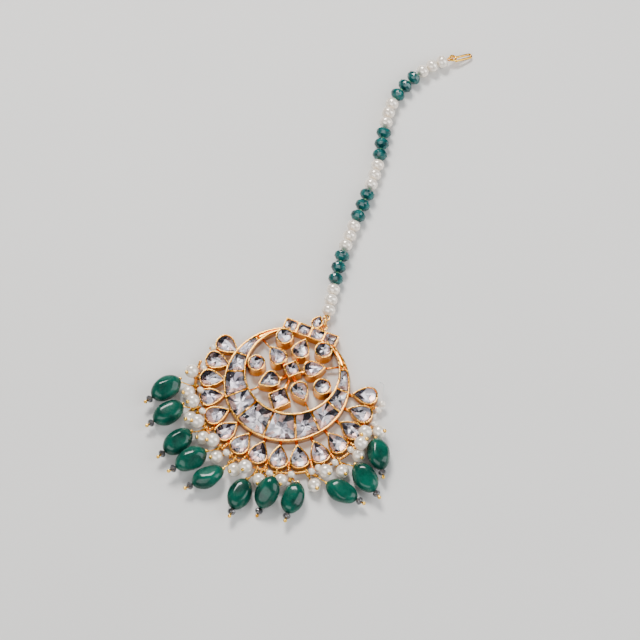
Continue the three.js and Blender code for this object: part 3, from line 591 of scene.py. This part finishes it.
def cupShape(line, rim, flute=0.0, flutes=0, flare=0.0):
    # rows up the outside, over the soft rim and down inside; flutes ripple the low outside
    wall, soft = cup["wall"], cup["soft"]
    ripple = flute * (0.5 + 0.5 * np.cos(np.linspace(0, 2 * np.pi * flutes, len(line), endpoint=False)))
    arc = np.linspace(0, np.pi, 9)
    over = [(wall / 2 * (1 - np.cos(a)), 0, rim - soft + soft * np.sin(a)) for a in arc]
    rows = [
        (flare * 0.4, 0, 0), (-ripple, 0, 0.35), (-ripple + flare * 0.2, 0, 1.1), (flare, 0, 1.6),
        (flare, 0, rim - 0.9), *over,
        (wall + 0.12, 0, rim - 0.5), (wall + 0.2, 0, rim - cup["seat"]), (wall + 0.2, 0.6, rim - cup["seat"]),
    ]
    return closedSkin(liftedRows(line, rows))


# the foil's facet brightness, its darker side and its pink facets by the edge are painted reflection and
# painted shade
stones = {      # facet length, how far the foil's corners stray, how its facets' brightness is shared out
    "facet": 1.9, "gap": 0.06, "belt": 0.85, "bezel": 0.14, "table": 0.4, "spread": 0.08, "wander": 0.35,
    "paintedDarkLean": 0.4, "paintedGoldReflection": 0.6, "paintedGoldReflectionFrom": 0.55, "paintedGoldReflectionMix": 0.3, "paintedDarkSide": 1.9, "paintedDarkSpread": 0.6,
    "shares": [0.0, 0.24, 0.28, 0.42, 0.46, 0.6, 0.64, 1.0],
    "paintedReflectionLevels": [0.03, 0.08, 0.34, 0.42, 0.66, 0.74, 0.96, 1.0],
}


def makeStone(line, rim, seed, girdle=0.2, crown=0.5, depth=0.24):
    # crystal: a belt, a row of crown facets and a table. Foil beneath: rows of facets with uneven tilts, each
    # facet with a painted reflection
    random = np.random.default_rng(seed)
    edgeLine = insetLine(line, cup["wall"] + stones["gap"])
    around = np.linalg.norm(np.roll(edgeLine, -1, 0) - edgeLine, axis=1).sum()
    facets = max(8, int(round(around / stones["facet"])))       # round the edge
    coarse = evenLine(edgeLine, 2 * facets)
    edge, between = coarse[::2], coarse[1::2]
    middle = line.mean(0)
    top = rim - girdle

    def row(outline, share, height, spread=0.0, wander=0.0):
        flat = outline * (1 - share) + middle * share
        flat = flat + random.uniform(-wander, wander, flat.shape)
        return np.hstack([flat, height + random.uniform(-spread, spread, (len(flat), 1))])

    glass = facetedSkin(np.stack([
        row(edge, 0, top - stones["belt"]), row(between, 0, top),
        row(np.roll(edge, -1, 0), stones["bezel"], top + crown * 0.55),
        row(np.roll(between, -1, 0), stones["table"], top + crown),
    ]))
    foil = facetedSkin(np.stack([
        row(edge, 0.02, top - stones["belt"] + 0.01), row(between, 0.02, top - 0.04),
        row(np.roll(edge, -1, 0), 0.5, top - depth, stones["spread"], stones["wander"]),
    ]))
    # a facet's painted reflection is darker by the lean times the cos of its angle from the stone's painted
    # dark side, and some facets near the gold's edge get a painted pink reflection of the gold
    facet = np.arange(len(foil[2]))
    facet = np.where(facet < 4 * facets, facet % (2 * facets), facet)      # the two triangles of a kite
    corners = foil[0][foil[2]].mean(1)[facet, :2] - middle
    out = np.linalg.norm(corners, axis=1)
    out = out / out.max()
    paintedDarkSide = random.normal(stones["paintedDarkSide"], stones["paintedDarkSpread"])
    pull = np.cos(np.arctan2(corners[:, 1], corners[:, 0]) - paintedDarkSide) * out
    share = np.clip(random.uniform(0, 1, len(out))[facet] - stones["paintedDarkLean"] * pull, 0, 1)
    paintedGoldReflection = (out > stones["paintedGoldReflectionFrom"]) & (random.uniform(0, 1, len(out))[facet] < stones["paintedGoldReflection"])
    # each foil facet's painted reflection, from near black to white
    bright = np.interp(share, stones["shares"], stones["paintedReflectionLevels"])
    return glass, foil, bright, np.where(paintedGoldReflection, stones["paintedGoldReflectionMix"], 1.0)


def addStone(name, line, rim, seed, nodes=(), **changes):
    # a stone as one piece, its crystal round its foil
    glass, foil, bright, paintedLightMix = makeStone(line, rim, seed, **changes)
    # the foil's faces carry their painted reflection and painted pink reflection of the gold; the crystal's
    # faces stay plain
    clear = np.ones(len(glass[1]) + len(glass[2]))
    facets = {"bright": np.concatenate([clear, bright]), "paintedLightMix": np.concatenate([clear, paintedLightMix])}
    return addPiece(name, glass, "cutCrystal", nodes, smooth=False, extra=foil,
                    extraFinish="silverFoil", facets=facets)


def makeCluster():
    # the cups of the centre, their low arms and their spokes; each stone is a piece of its own
    shapes = []
    radius = ring["radius"]
    for index, (name, form, bearing, out, turn) in enumerate(cluster["rows"]):
        place = atBearing((0, 0), out * radius, 180 - bearing)
        line = turnedLine(clusterLine(form), -turn) + place
        rim = cluster["diamondRise"] if form == "diamond" else cluster["height"]
        isRound = form == "round"
        flute = cluster["flute"] if isRound else cluster["faintFlute"]
        shapes.append(cupShape(line, rim, flute, cluster["flutes"], cluster["flare"]))
        addStone(f"{name}_cut", line, rim, index + 1, [name])
        if out > 0 and not isRound:
            shapes.append(straightWall((0, 0), place, **cluster["arm"]))
        if isRound:
            outside = atBearing((0, 0), radius, 180 - bearing)
            shapes.append(straightWall(place, outside, **cluster["roundArm"]))
    for bearing in cluster["spokes"]:
        start = atBearing((0, 0), radius * cluster["spokeFrom"], 180 - bearing)
        end = atBearing((0, 0), radius, 180 - bearing)
        shapes.append(straightWall(start, end, **cluster["spoke"]))
    return joined(shapes)


addGold("cluster_cups", makeCluster(), ["gold_setting"], 3.9)
print("cluster made")

for index, (start, end) in enumerate(zip(crescent["bearings"][:-1], crescent["bearings"][1:])):
    cell = evenLine(cellLine(start, end, 0.3 - cup["wall"]), cup["points"])
    large = abs(start + end) / 2 < 60
    addStone(f"crescent_stone_{index + 1}_cut", cell, crescent["height"], 40 + index,
             [f"crescent_stone_{index + 1}"], depth=0.4 if large else 0.28)
print("crescent stones made")


def makeBar():
    # four square cells with walls between them, on one block
    x0, y0 = bar["centre"]
    w, d, wall = bar["width"], bar["depth"], bar["wall"]
    pitch = (w - wall) / bar["cells"]
    shapes = []
    for k in range(bar["cells"]):
        x = x0 + (k - (bar["cells"] - 1) / 2) * pitch
        half = np.array([pitch / 2 + 0.1, d / 2])
        corners = np.array([[1, -1], [1, 1], [-1, 1], [-1, -1]]) * half + (x, y0)
        line = evenLine(softLine(corners, 0.35), cup["points"])
        shapes.append(cupShape(line, bar["height"]))
        addStone(f"bar_stone_{k + 1}_cut", line, bar["height"], 70 + k, [f"bar_stone_{k + 1}"])
    return joined(shapes)


addGold("top_bar", makeBar(), ["gold_setting"], 3.0)

marquiseCup = turnedLine(marquiseLine(marquise["width"], marquise["length"]), marquise["turn"])
marquiseCup = marquiseCup + np.array(marquise["centre"])
addGold("marquise_cup", cupShape(marquiseCup, marquise["height"]), ["gold_setting"], 2.4)
addStone("marquise_stone_cut", marquiseCup, marquise["height"], 80, ["marquise_stone"])


def petalLine(bearing):
    # a petal's outline, its tip towards the crescent
    place = atBearing(petals["centre"], petals["tipRadius"] + petals["length"] / 2, bearing)
    return turnedLine(pearLine(petals["width"], petals["length"]), bearing) + place


def makePetals():
    # fifteen cups, each with a low joint to the crescent
    shapes = []
    for index, bearing in enumerate(petals["bearings"]):
        line = petalLine(bearing)
        shapes.append(cupShape(line, petals["height"]))
        addStone(f"petal_stone_{index + 1}", line, petals["height"], 100 + index)
        tip = atBearing(petals["centre"], petals["tipRadius"] + petals["jointReach"], bearing)
        root = np.array(crescent["centre"]) + unit(tip - crescent["centre"]) * crescent["radius"]
        shapes.append(straightWall(root, tip, **petals["joint"]))
    return joined(shapes)


addGold("petal_cups", makePetals(), ["gold_setting"], 2.3)
print("petals made")


# Fringe: a carrier wire behind the petals' ends, pearls and green drops on pins

fringeNodes = ["pearl_fringe_left", "pearl_fringe_right"]
links = {"wire": 0.5, "reach": 0.85}
carrier = {
    "radius": petals["endRadius"] + 1.0, "wire": 0.6, "height": 1.5, "end": 86.0, "step": 3.0, "split": 0.25,
    "reach": 0.42, "thin": 0.3, "pitch": 0.62, "stop": 1.0,
}
petalLoops = {"every": 2, "reach": 1.1, "radius": petals["endRadius"] - 0.35 + 1.1}
pearls = {
    "size": 4.06, "spacing": 4.1, "rise": 0.7, "pin": 0.45, "head": 1.12, "headOut": 0.12, "tip": 0.8,
    "wrapFrom": 0.4, "wrapLength": 1.3,
    "rows": [       # place along the carrier in fifths of a petal, bearing, share of its size out, layer
        (-26, -75.5, 0.3, 1), (-22, -64.52, 0.47, 0), (-19, -56.1, 0.26, 1), (-17, -48.8, 0.7, 0),
        (-14, -42.8, 0.42, 1), (-11, -34.65, 0.57, 0), (-9, -27.9, 0.28, 1), (-6, -20.93, 0.79, 0),
        (-2, -8.38, 0.81, 0), (-1, -2.8, 0.51, 1), (2, 6.3, 0.85, 0), (6, 18, 0.64, 0),
        (11, 35.6, 1.19, 0), (14, 43.42, 0.56, 0.6), (17, 52, 0.93, 0), (22, 65, 0.62, 0),
        (21, 69.5, 0.3, 1), (26, 76.4, -0.01, 1), (27, 83.1, 0.66, 0),
    ],
}
drops = {
    "length": 10.0, "width": 6.9, "thickness": 5.2, "crystal": 2.3, "crystalLength": 1.8, "ball": 1.12,
    "power": 12, "roundness": 1.78, "strays": (7, 5, 0.03), "eyeBall": 1.0,
    "faces": [      # angle round the pin from the drop's side, tilt towards its end, share of the way out
        (90, 0, 0.78), (270, 0, 0.8), (35, 10, 0.88), (145, -10, 0.86), (215, 10, 0.9), (325, -10, 0.9),
    ],
    "rows": [       # place along the carrier, bearing, share of its length out, heading, roll, lift
        (-23, -66.6, 0.85, -31, 30, 0), (-18, -54.2, 0.87, -34, 10, 0), (-13, -38.8, 0.93, -27, 15, 0),
        (-8, -27.9, 0.93, -37, 40, 0), (-4, -16.5, 0.97, -38.9, -15, 0), (1, 0, 0.97, 0, 8, 0),
        (3, 12.2, 0.76, -5, 0, 30), (8, 24.25, 0.82, 5, -12, 0), (12, 46.75, 0.95, 81.5, 10, 0),
        (18, 59.05, 0.94, 55.5, -15, 0), (23, 72.1, 0.67, 31.8, 15, 0),
    ],
}


def carrierPoint(place, outwards=0.0):
    # a point on the carrier wire, in fifths of a petal's step
    flat = atBearing(petals["centre"], carrier["radius"] + outwards, np.multiply(place, carrier["step"]))
    return np.concatenate([flat, np.full(flat.shape[:-1] + (1,), carrier["height"])], -1)


def carrierRun(place):
    # the carrier's direction there
    angle = np.radians(place * carrier["step"])
    return np.array([np.cos(angle), np.sin(angle), 0.0])


def winding(start, end):
    # a helix about the carrier's arc: winding reach * cos of the turn outwards and * sin of it upwards
    turns = int(abs(end - start) * np.pi / 180 * carrier["radius"] / carrier["pitch"])
    angle = np.linspace(0, 2 * np.pi * turns, turns * 9)
    places = np.linspace(start, end, len(angle)) / carrier["step"]
    path = carrierPoint(places, carrier["reach"] * np.cos(angle))
    path[:, 2] += carrier["reach"] * np.sin(angle)
    return closedSkin(wireRows(path, carrier["thin"] / 2, 5, False, (0.2, 0.3, 1.0)))


def makeCarrier():
    # two arcs of wire with a ball at each end, their windings, and the petals' loops round them
    shapes = []
    for side in (-1, 1):
        places = side * np.linspace(carrier["split"], carrier["end"], 60) / carrier["step"]
        shapes.append(wire(carrierPoint(places), carrier["wire"], 12))
        shapes.append(winding(side * (carrier["split"] + 0.5), side * (carrier["end"] - 1)))
        shapes.append(ball(carrierPoint(side * carrier["end"] / carrier["step"]), carrier["stop"]))
    looped = petals["bearings"][::petalLoops["every"]]
    for bearing in looped[np.abs(looped) < carrier["end"]]:
        centre = [*atBearing(petals["centre"], petalLoops["radius"], bearing), carrier["height"]]
        run = carrierRun(bearing / carrier["step"])
        shapes.append(wireRing(centre, run, petalLoops["reach"], links["wire"]))
    return joined(shapes)


addGold("carrier_and_loops", makeCarrier(), fringeNodes, 2.4)


def wrap(start, run, length, turns=4, diameter=0.32, reach=0.42):
    # a coil of thin wire round a pin: reach * (cos, sin) of the turn across the pin, rising along it
    count = turns * 10
    angle = np.linspace(0, 2 * np.pi * turns, count)
    coil = np.stack([reach * np.cos(angle), reach * np.sin(angle), np.linspace(0, length, count)], 1)
    points, quads, tris = closedSkin(wireRows(coil, diameter / 2, 6, False, (0.3, 0.5, 1.0)))
    return placed((points, quads, tris), start, run)


def makePearls():
    # each pearl in its place, tilted so that its pin's ball head shows, the pin from the carrier and its wrap
    bodies, metal = [], []
    size = pearls["size"]
    for place, bearing, out, layer in pearls["rows"]:
        flat = atBearing(petals["centre"], carrier["radius"] + out * pearls["spacing"], bearing)
        middle = np.array([*flat, pearls["spacing"] * (0.5 + layer * pearls["rise"])])
        start = carrierPoint(place)
        run = unit(middle - start)
        axis = unit([*unit(run[:2]), pearls["tip"]])
        inner = middle - axis * size / 2
        bodies.append(placed(closedSkin(ballRows(size, size, 32, 18)), middle, axis))
        metal.append(wire(np.stack([start, (start + inner) / 2, inner, middle]), pearls["pin"], 8))
        metal.append(ball(middle + axis * (size / 2 + pearls["headOut"]), pearls["head"], 18, 9))
        metal.append(wireRing(start + run * 0.05, carrierRun(place), links["reach"], pearls["pin"]))
        metal.append(wrap(start + run * pearls["wrapFrom"], run, pearls["wrapLength"], 5))
    return joined(bodies), joined(metal)


pearlBodies, pearlPins = makePearls()
addPiece("fringe_pearls", pearlBodies, "pearlLustre", fringeNodes)
addGold("fringe_pins", pearlPins, fringeNodes, 2.2, "yellowGold")
print("pearls made")


def dropShape(seed, count=64, rows=44):
    # reach in a direction = (blob^p + the sum of (share towards a face / the face's distance)^p)^(-1/p), with
    # blob = (((x/a)^2 + (y/b)^2)^(q/2) + |z/c|^q)^(1/q): an almond with flat faces and soft ridges
    random = np.random.default_rng(seed)
    size = np.array([drops["width"], drops["thickness"], drops["length"]]) / 2
    around, tilt, near = np.array(drops["faces"]).T
    aroundStray, tiltStray, nearStray = drops["strays"]
    around = np.radians(around + random.uniform(-aroundStray, aroundStray, len(around)))
    tilt = np.radians(tilt + random.uniform(-tiltStray, tiltStray, len(tilt)))
    normals = np.stack([np.cos(around) * np.cos(tilt), np.sin(around) * np.cos(tilt), np.sin(tilt)], 1)
    near = near * random.uniform(1 - nearStray, 1 + nearStray, len(near))
    away = np.sqrt((normals ** 2 * size ** 2).sum(1)) * near
    up = np.linspace(-np.pi / 2, np.pi / 2, rows + 2)[1:-1, None]
    turn = np.linspace(0, 2 * np.pi, count, endpoint=False)[None, :]
    ways = np.stack([np.cos(up) * np.cos(turn), np.cos(up) * np.sin(turn), np.sin(up) + 0 * turn], -1)
    ways = unit(ways * size)
    across = np.linalg.norm(ways[..., :2] / size[:2], axis=-1)
    power, roundness = drops["power"], drops["roundness"]
    blob = (across ** roundness + np.abs(ways[..., 2] / size[2]) ** roundness) ** (1 / roundness)
    faces = np.clip(ways @ (normals / away[:, None]).T, 0, None)
    body = ways * ((faces ** power).sum(-1) + blob ** power)[..., None] ** (-1 / power)
    return closedSkin(body * size / np.abs(body.reshape(-1, 3)).max(0))


def crystalBead(width, length, count=12, belt=0.3):
    # a rondelle cut with two rows of facets each side of its belt
    angle = np.linspace(0, 2 * np.pi, count, endpoint=False)
    half = np.pi / count
    profile = [(0.22, -0.5), (0.72, -0.36), (1, -belt / 2), (1, belt / 2), (0.72, 0.36), (0.22, 0.5)]
    rows = []
    for row, (share, height) in enumerate(profile):
        reach, turned = share * width / 2, angle + row * half
        level = np.full(count, height * length)
        rows.append(np.stack([reach * np.cos(turned), reach * np.sin(turned), level], 1))
    return facetedSkin(np.stack(rows))


def makeDrops():
    # each drop with its rondelle, ball, pin and eye
    for index, (place, bearing, out, heading, roll, lift) in enumerate(drops["rows"]):
        flat = atBearing(petals["centre"], carrier["radius"] + out * drops["length"], bearing)
        tilt, turn, spin = np.radians([lift, heading, roll])
        run = np.array([np.sin(turn) * np.cos(tilt), -np.cos(turn) * np.cos(tilt), -np.sin(tilt)])
        level = np.array([np.cos(turn), np.sin(turn), 0.0])
        up = np.cross(level, -run)
        up = up * np.cos(spin) + level * np.sin(spin)
        body = placed(dropShape(200 + index), (0, 0, 0), run, up)
        ballOut = drops["length"] / 2 + drops["crystalLength"] + drops["ball"] / 2
        ballLow = run[2] * ballOut - drops["ball"] / 2
        middle = np.array([*flat, -min(body[0][:, 2].min(), ballLow)])
        body = (body[0] + middle, body[1], body[2])
        name = f"green_drop_{index + 1}"
        addPiece(f"{name}_stone", body, "emeraldStone", [name])
        near = middle + run * drops["length"] / 2
        crystal = placed(crystalBead(drops["crystal"], drops["crystalLength"]),
                         near + run * drops["crystalLength"] / 2, run)
        # the crystal bead's dark colour is painted: dark surroundings seen through it
        addPiece(f"{name}_crystal", crystal, "crystalPaintedDark", [name], smooth=False)
        end = near + run * drops["crystalLength"]
        start = carrierPoint(place)
        inner = middle - run * drops["length"] / 2
        metal = [
            ball(end + run * drops["ball"] / 2, drops["ball"], 18, 9),
            wire(np.linspace(near - run, end + run * 0.2, 3), pearls["pin"], 8),
            wire(np.linspace(carrierPoint(place, links["reach"]), inner + run, 3), pearls["pin"], 8),
            wireRing(start, carrierRun(place), links["reach"], pearls["pin"]),
            wrap(carrierPoint(place, links["reach"]), run, 1.9, 6),
            ball(inner - run * 0.1, drops["eyeBall"], 16, 8),
        ]
        addGold(f"{name}_pin", joined(metal), [name], 2.4, "yellowGold")


makeDrops()
print("drops made")


# Small things between the petals: seed pearls on clear thread, and grains of gold in the petals' corners

seeds = {
    "size": 2.15, "thread": 0.28,
    "places": [     # middle of each seed pearl and its height
        (-24.7, -1.1, 1.3), (-24.8, -8.4, 1.3), (-22.4, -16.1, 3.3), (-19.2, -22.2, 3.4), (-7.6, -31.7, 3.3),
        (6.5, -33.1, 3.4), (12.4, -31.0, 3.3), (17.5, -27.9, 3.3), (18.9, -26.3, 3.5), (22.6, -22.8, 3.3),
        (28.4, 0.1, 2.2), (27.9, -1.9, 1.4), (28.5, -6.6, 1.5), (-12.6, -28.6, 3.3), (25.4, -17.4, 3.3),
    ],
    "loops": [      # where each clear thread runs
        [(25.2, 6.4, 2.2), (26.6, 5.6, 3.4), (27.6, 3.4, 3.8), (28.2, 1.4, 3.0), (28.4, 0.1, 2.2),
         (27.9, -1.9, 1.4), (27.6, -4.4, 1.2)],
        [(-23.6, 1.8, 1.6), (-24.6, 0.6, 1.6), (-24.7, -1.1, 1.3), (-23.8, -3.2, 1.2)],
        [(-23.6, -5.6, 1.2), (-24.6, -7.0, 1.3), (-24.8, -8.4, 1.3), (-24.2, -10.2, 1.3)],
    ],
    "grain": 1.15, "grainRow": 4, "grainInset": 2.5, "grainStep": 0.85, "grainLow": 0.75, "grainRise": 0.18,
}


def makeSeeds():
    # seed pearls, each a little flattened along its thread's axis, about towards +Y
    bead = closedSkin(ballRows(seeds["size"], seeds["size"] * 0.92, 20, 10))
    return joined([placed(bead, place, (0.3, 0.95, 0.1)) for place in seeds["places"]])


def makeGrains():
    # a short row of gold grains in each corner between two petals, low against their cups
    shapes = []
    between = (petals["bearings"][:-1] + petals["bearings"][1:]) / 2
    for bearing in between:
        for k in range(seeds["grainRow"]):
            radius = petals["endRadius"] - seeds["grainInset"] + k * seeds["grainStep"]
            centre = [*atBearing(petals["centre"], radius, bearing), seeds["grainLow"] + seeds["grainRise"] * k]
            shapes.append(ball(centre, seeds["grain"], 12, 7))
    return joined(shapes)


addPiece("seed_pearls", makeSeeds(), "pearlLustre")
addGold("petal_grains", makeGrains(), rim=2.2)
seedThread = joined([wire(smoothRoute(np.array(loop), 12), seeds["thread"], 8) for loop in seeds["loops"]])
addPiece("seed_thread", seedThread, "clearThread")
print("small things made")


# Jump ring, bead string and hook

stringParts = {
    "route": [[2.4, 21.5], [0.9, 29.4], [-1.1, 41.9], [-1.6, 53.2], [-1.9, 65.4], [-2.8, 76.0], [-5.2, 87.0],
              [-6.6, 97.0], [-4.8, 106.5], [-0.5, 114.5], [6.5, 122.0]],
    "pearl": (4.1, 3.5), "roundness": 2.1, "rondelle": (4.6, 3.3), "pearlSpacing": 0.05, "rondelleSpacing": 0.7,
    "groups": 5, "perGroup": 3, "firstGap": 0.15, "eyeGap": 0.3, "thread": 0.64, "height": 2.3,
}
sideLoop = {"reach": 0.83, "height": 1.955, "sunk": 0.175, "lower": 0.5}
jump = {"reach": 1.6, "wire": 0.56, "heading": -9}
hook = {"wire": 0.7, "length": 6.1, "width": 2.0, "returns": 0.8, "slope": 12, "eye": 0.9}


jumpRun = atBearing((0, 0), 1, 180 - jump["heading"])
sideLoopPlace = np.array(marquise["centre"]) + (
    marquise["width"] / 2 + sideLoop["reach"] - sideLoop["sunk"], -sideLoop["lower"])
firstEye = sideLoopPlace + 2 * jump["reach"] * jumpRun
stringStart = firstEye + (0, jump["wire"] / 2 + stringParts["eyeGap"] + stringParts["firstGap"])
route = np.array(stringParts["route"]) + stringStart - stringParts["route"][0]
routeLine = smoothRoute(np.hstack([route, np.full((len(route), 1), stringParts["height"])]))
routeAlong = np.concatenate([[0], np.cumsum(np.linalg.norm(np.diff(routeLine, axis=0), axis=1))])


def onString(distance):
    # the point at a distance along the thread
    return np.stack([np.interp(distance, routeAlong, routeLine[:, k]) for k in range(3)], -1)


def runOnString(distance):
    # the thread's direction there
    return unit(onString(np.add(distance, 0.2)) - onString(np.subtract(distance, 0.2)))


def beadDistances():
    # kind and distance of each bead: groups of pearls and of rondelles by turns
    kinds = [("pearl" if group % 2 == 0 else "rondelle") for group in range(2 * stringParts["groups"] - 1)
             for k in range(stringParts["perGroup"])]
    lengths = np.array([stringParts[kind][1] for kind in kinds])
    gaps = np.array([stringParts[kind + "Spacing"] for kind in kinds])
    steps = (lengths[:-1] + lengths[1:] + gaps[:-1] + gaps[1:]) / 2
    return kinds, lengths[0] / 2 + np.concatenate([[0], np.cumsum(steps)])


beadKinds, beadAt = beadDistances()
stringEnd = beadAt[-1] + stringParts["pearl"][1] / 2 + stringParts["firstGap"]
stringPearls, stringRondelles = [], []
for kind, distance in zip(beadKinds, beadAt):
    place, run = onString(distance), runOnString(distance)
    if kind == "pearl":
        bead = closedSkin(ballRows(*stringParts[kind], 32, 18, stringParts["roundness"]))
        stringPearls.append(placed(bead, place, run))
    else:
        stringRondelles.append(placed(crystalBead(*stringParts[kind], 14, 0.26), place, run))
addPiece("string_pearls", joined(stringPearls), "pearlLustre", ["bead_string"])
addPiece("string_rondelles", joined(stringRondelles), "tealCrystal", ["bead_string"],
         smooth=False)

threadPath = onString(np.linspace(0.02, stringEnd, 240))
threadPath = np.vstack([[[firstEye[0], firstEye[1] + sideLoop["reach"], stringParts["height"]]], threadPath])
thread = wire(threadPath, stringParts["thread"], 10)
addPiece("string_thread", thread, "twistedThread", ["bead_string"])

hookRun = runOnString(stringEnd - 0.3)
endEye = onString(stringEnd) + hookRun * hook["eye"]
across = np.cross(hookRun, (0, 0, 1))
eyes = [
    wireRing([*firstEye, sideLoop["height"]], (0, 0, 1), sideLoop["reach"], links["wire"]),
    wireRing(endEye, across, hook["eye"], links["wire"]),
]
addGold("string_eyes", joined(eyes), ["bead_string"], 2.4)
jumpCentre = sideLoopPlace + jump["reach"] * jumpRun
jumpAxis = np.array([jumpRun[1], -jumpRun[0], 0.0])
jumpRing = wireRing([*jumpCentre, sideLoop["height"]], jumpAxis, jump["reach"], jump["wire"], 12, 40)
addGold("jump_ring_wire", jumpRing, ["jump_ring"], 2.6)
topLoop = wireRing([*sideLoopPlace, sideLoop["height"]], (0, 0, 1), sideLoop["reach"], links["wire"])
addGold("side_loop", topLoop, ["gold_setting"], 2.4)


def makeHook():
    # a narrow U of wire beyond its eye, sloping down to its bend
    radius = (hook["width"] - hook["wire"]) / 2
    straight = hook["length"] - radius
    bend = np.linspace(np.pi, 0, 15)
    flat = np.vstack([
        [[0, hook["eye"]], [0, straight * 0.35], [0, straight * 0.7]],
        np.stack([radius * (1 + np.cos(bend)), straight + radius * np.sin(bend)], 1),
        [[2 * radius, straight * 0.7], [2 * radius, straight - hook["length"] * hook["returns"]]],
    ])
    path = smoothRoute(np.hstack([flat, np.zeros((len(flat), 1))]), 6)
    shapes = [
        wire(path, hook["wire"], 12),
        wireRing((0, 0, 0), (0, 0, 1), hook["eye"], hook["wire"], 12),
        ball(path[-1], hook["wire"] * 1.15, 14, 8),
    ]
    points, quads, tris = joined(shapes)
    slope = np.radians(hook["slope"])
    level = np.array([hookRun[0], hookRun[1], 0]) / np.linalg.norm(hookRun[:2])
    fall = level * np.cos(slope) - np.array([0, 0, np.sin(slope)])
    side = np.array([level[1], -level[0], 0])
    up = np.cross(side, fall)
    middle = onString(stringEnd) + hookRun * hook["eye"] + fall * hook["eye"]
    return points @ np.stack([side, fall, up]) + middle, quads, tris


addGold("hair_hook_wire", makeHook(), ["hair_hook"], 2.0, "yellowGold")
print("string and hook made")


# Floor, lights and camera

stage = {"floorSize": 3.0, "floorDrop": 0.00004}
floorMesh = bpy.data.meshes.new("floor")
half = stage["floorSize"] / 2
floorCorners = [(-half, -half), (half, -half), (half, half), (-half, half)]
floorMesh.from_pydata([(*corner, -stage["floorDrop"]) for corner in floorCorners], [], [(0, 1, 2, 3)])
floorMesh.materials.append(materials["paleFloor"])
floor = bpy.data.objects.new("floor", floorMesh)
bpy.context.scene.collection.objects.link(floor)

world = bpy.data.worlds.new("studio")
world.use_nodes = True
room = {
    "dark": (0.03, 0.03, 0.034), "bright": (0.62, 0.64, 0.68), "scale": 2.6, "detail": 1.5,
    "from": 0.47, "to": 0.60,
}
roomPlace = world.node_tree.nodes.new("ShaderNodeTexCoord")
roomNoise = world.node_tree.nodes.new("ShaderNodeTexNoise")
roomNoise.inputs["Scale"].default_value = room["scale"]
roomNoise.inputs["Detail"].default_value = room["detail"]
roomRamp = world.node_tree.nodes.new("ShaderNodeValToRGB")      # a dim room with bright windows and screens
roomRamp.color_ramp.elements[0].position = room["from"]
roomRamp.color_ramp.elements[0].color = (*room["dark"], 1)
roomRamp.color_ramp.elements[1].position = room["to"]
roomRamp.color_ramp.elements[1].color = (*room["bright"], 1)
world.node_tree.links.new(roomPlace.outputs["Generated"], roomNoise.inputs["Vector"])
world.node_tree.links.new(roomNoise.outputs["Fac"], roomRamp.inputs["Fac"])
world.node_tree.links.new(roomRamp.outputs["Color"], world.node_tree.nodes["Background"].inputs["Color"])
bpy.context.scene.world = world

lamps = {
    "key": {"place": (-0.30, 0.42, 0.62), "size": (0.30, 0.26), "watts": 8.5, "colour": (1.0, 0.98, 0.95)},
    "side": {"place": (0.62, 0.16, 0.40), "size": (0.50, 0.70), "watts": 5.0, "colour": (0.95, 0.97, 1.0)},
    "front": {"place": (-0.05, -0.62, 0.50), "size": (0.90, 0.45), "watts": 4.0, "colour": (1.0, 1.0, 1.0)},
}


def looking(right, upwards, back, place):
    # the matrix of a lamp or camera whose own axes lie along these directions
    matrix = np.eye(4)
    matrix[:3] = np.stack([right, upwards, back, place], 1)
    return Matrix(matrix.tolist())


for name, lamp in lamps.items():
    light = bpy.data.lights.new(name, "AREA")
    light.shape = "RECTANGLE"
    light.size, light.size_y = lamp["size"]
    light.energy = lamp["watts"]
    light.color = lamp["colour"]
    holder = bpy.data.objects.new(name, light)
    back = unit(np.array(lamp["place"]))       # towards the lamp from the ring's middle
    right = unit(np.cross((0.0, 0.0, 1.0), back))
    holder.matrix_world = looking(right, np.cross(back, right), back, lamp["place"])
    bpy.context.scene.collection.objects.link(holder)

view = {"azimuth": 22.0, "elevation": 63.0, "distance": 750.0, "pixelsPerMm": 3.4, "middle": (292.3, 371.1),
        "frame": 640.0, "sensor": 36.0, "height": 2.5}
azimuth, elevation = np.radians([view["azimuth"], view["elevation"]])
back = np.array([
    np.sin(azimuth) * np.cos(elevation), -np.cos(azimuth) * np.cos(elevation), np.sin(elevation)])
right = np.array([np.cos(azimuth), np.sin(azimuth), 0.0])
upwards = np.cross(back, right)
aside = (view["frame"] / 2 - np.array(view["middle"])) / view["pixelsPerMm"]    # ring to the frame's middle
target = np.array([0, 0, view["height"]]) + right * aside[0] - upwards * aside[1]
eye = (target + back * view["distance"]) * mm
cameraData = bpy.data.cameras.new("camera")
cameraData.sensor_width = view["sensor"]
cameraData.lens = view["sensor"] * view["distance"] * view["pixelsPerMm"] / view["frame"]
cameraData.clip_start = 0.01
camera = bpy.data.objects.new("camera", cameraData)
camera.matrix_world = looking(right, upwards, back, eye)
bpy.context.scene.collection.objects.link(camera)
bpy.context.scene.camera = camera
print("stage set")
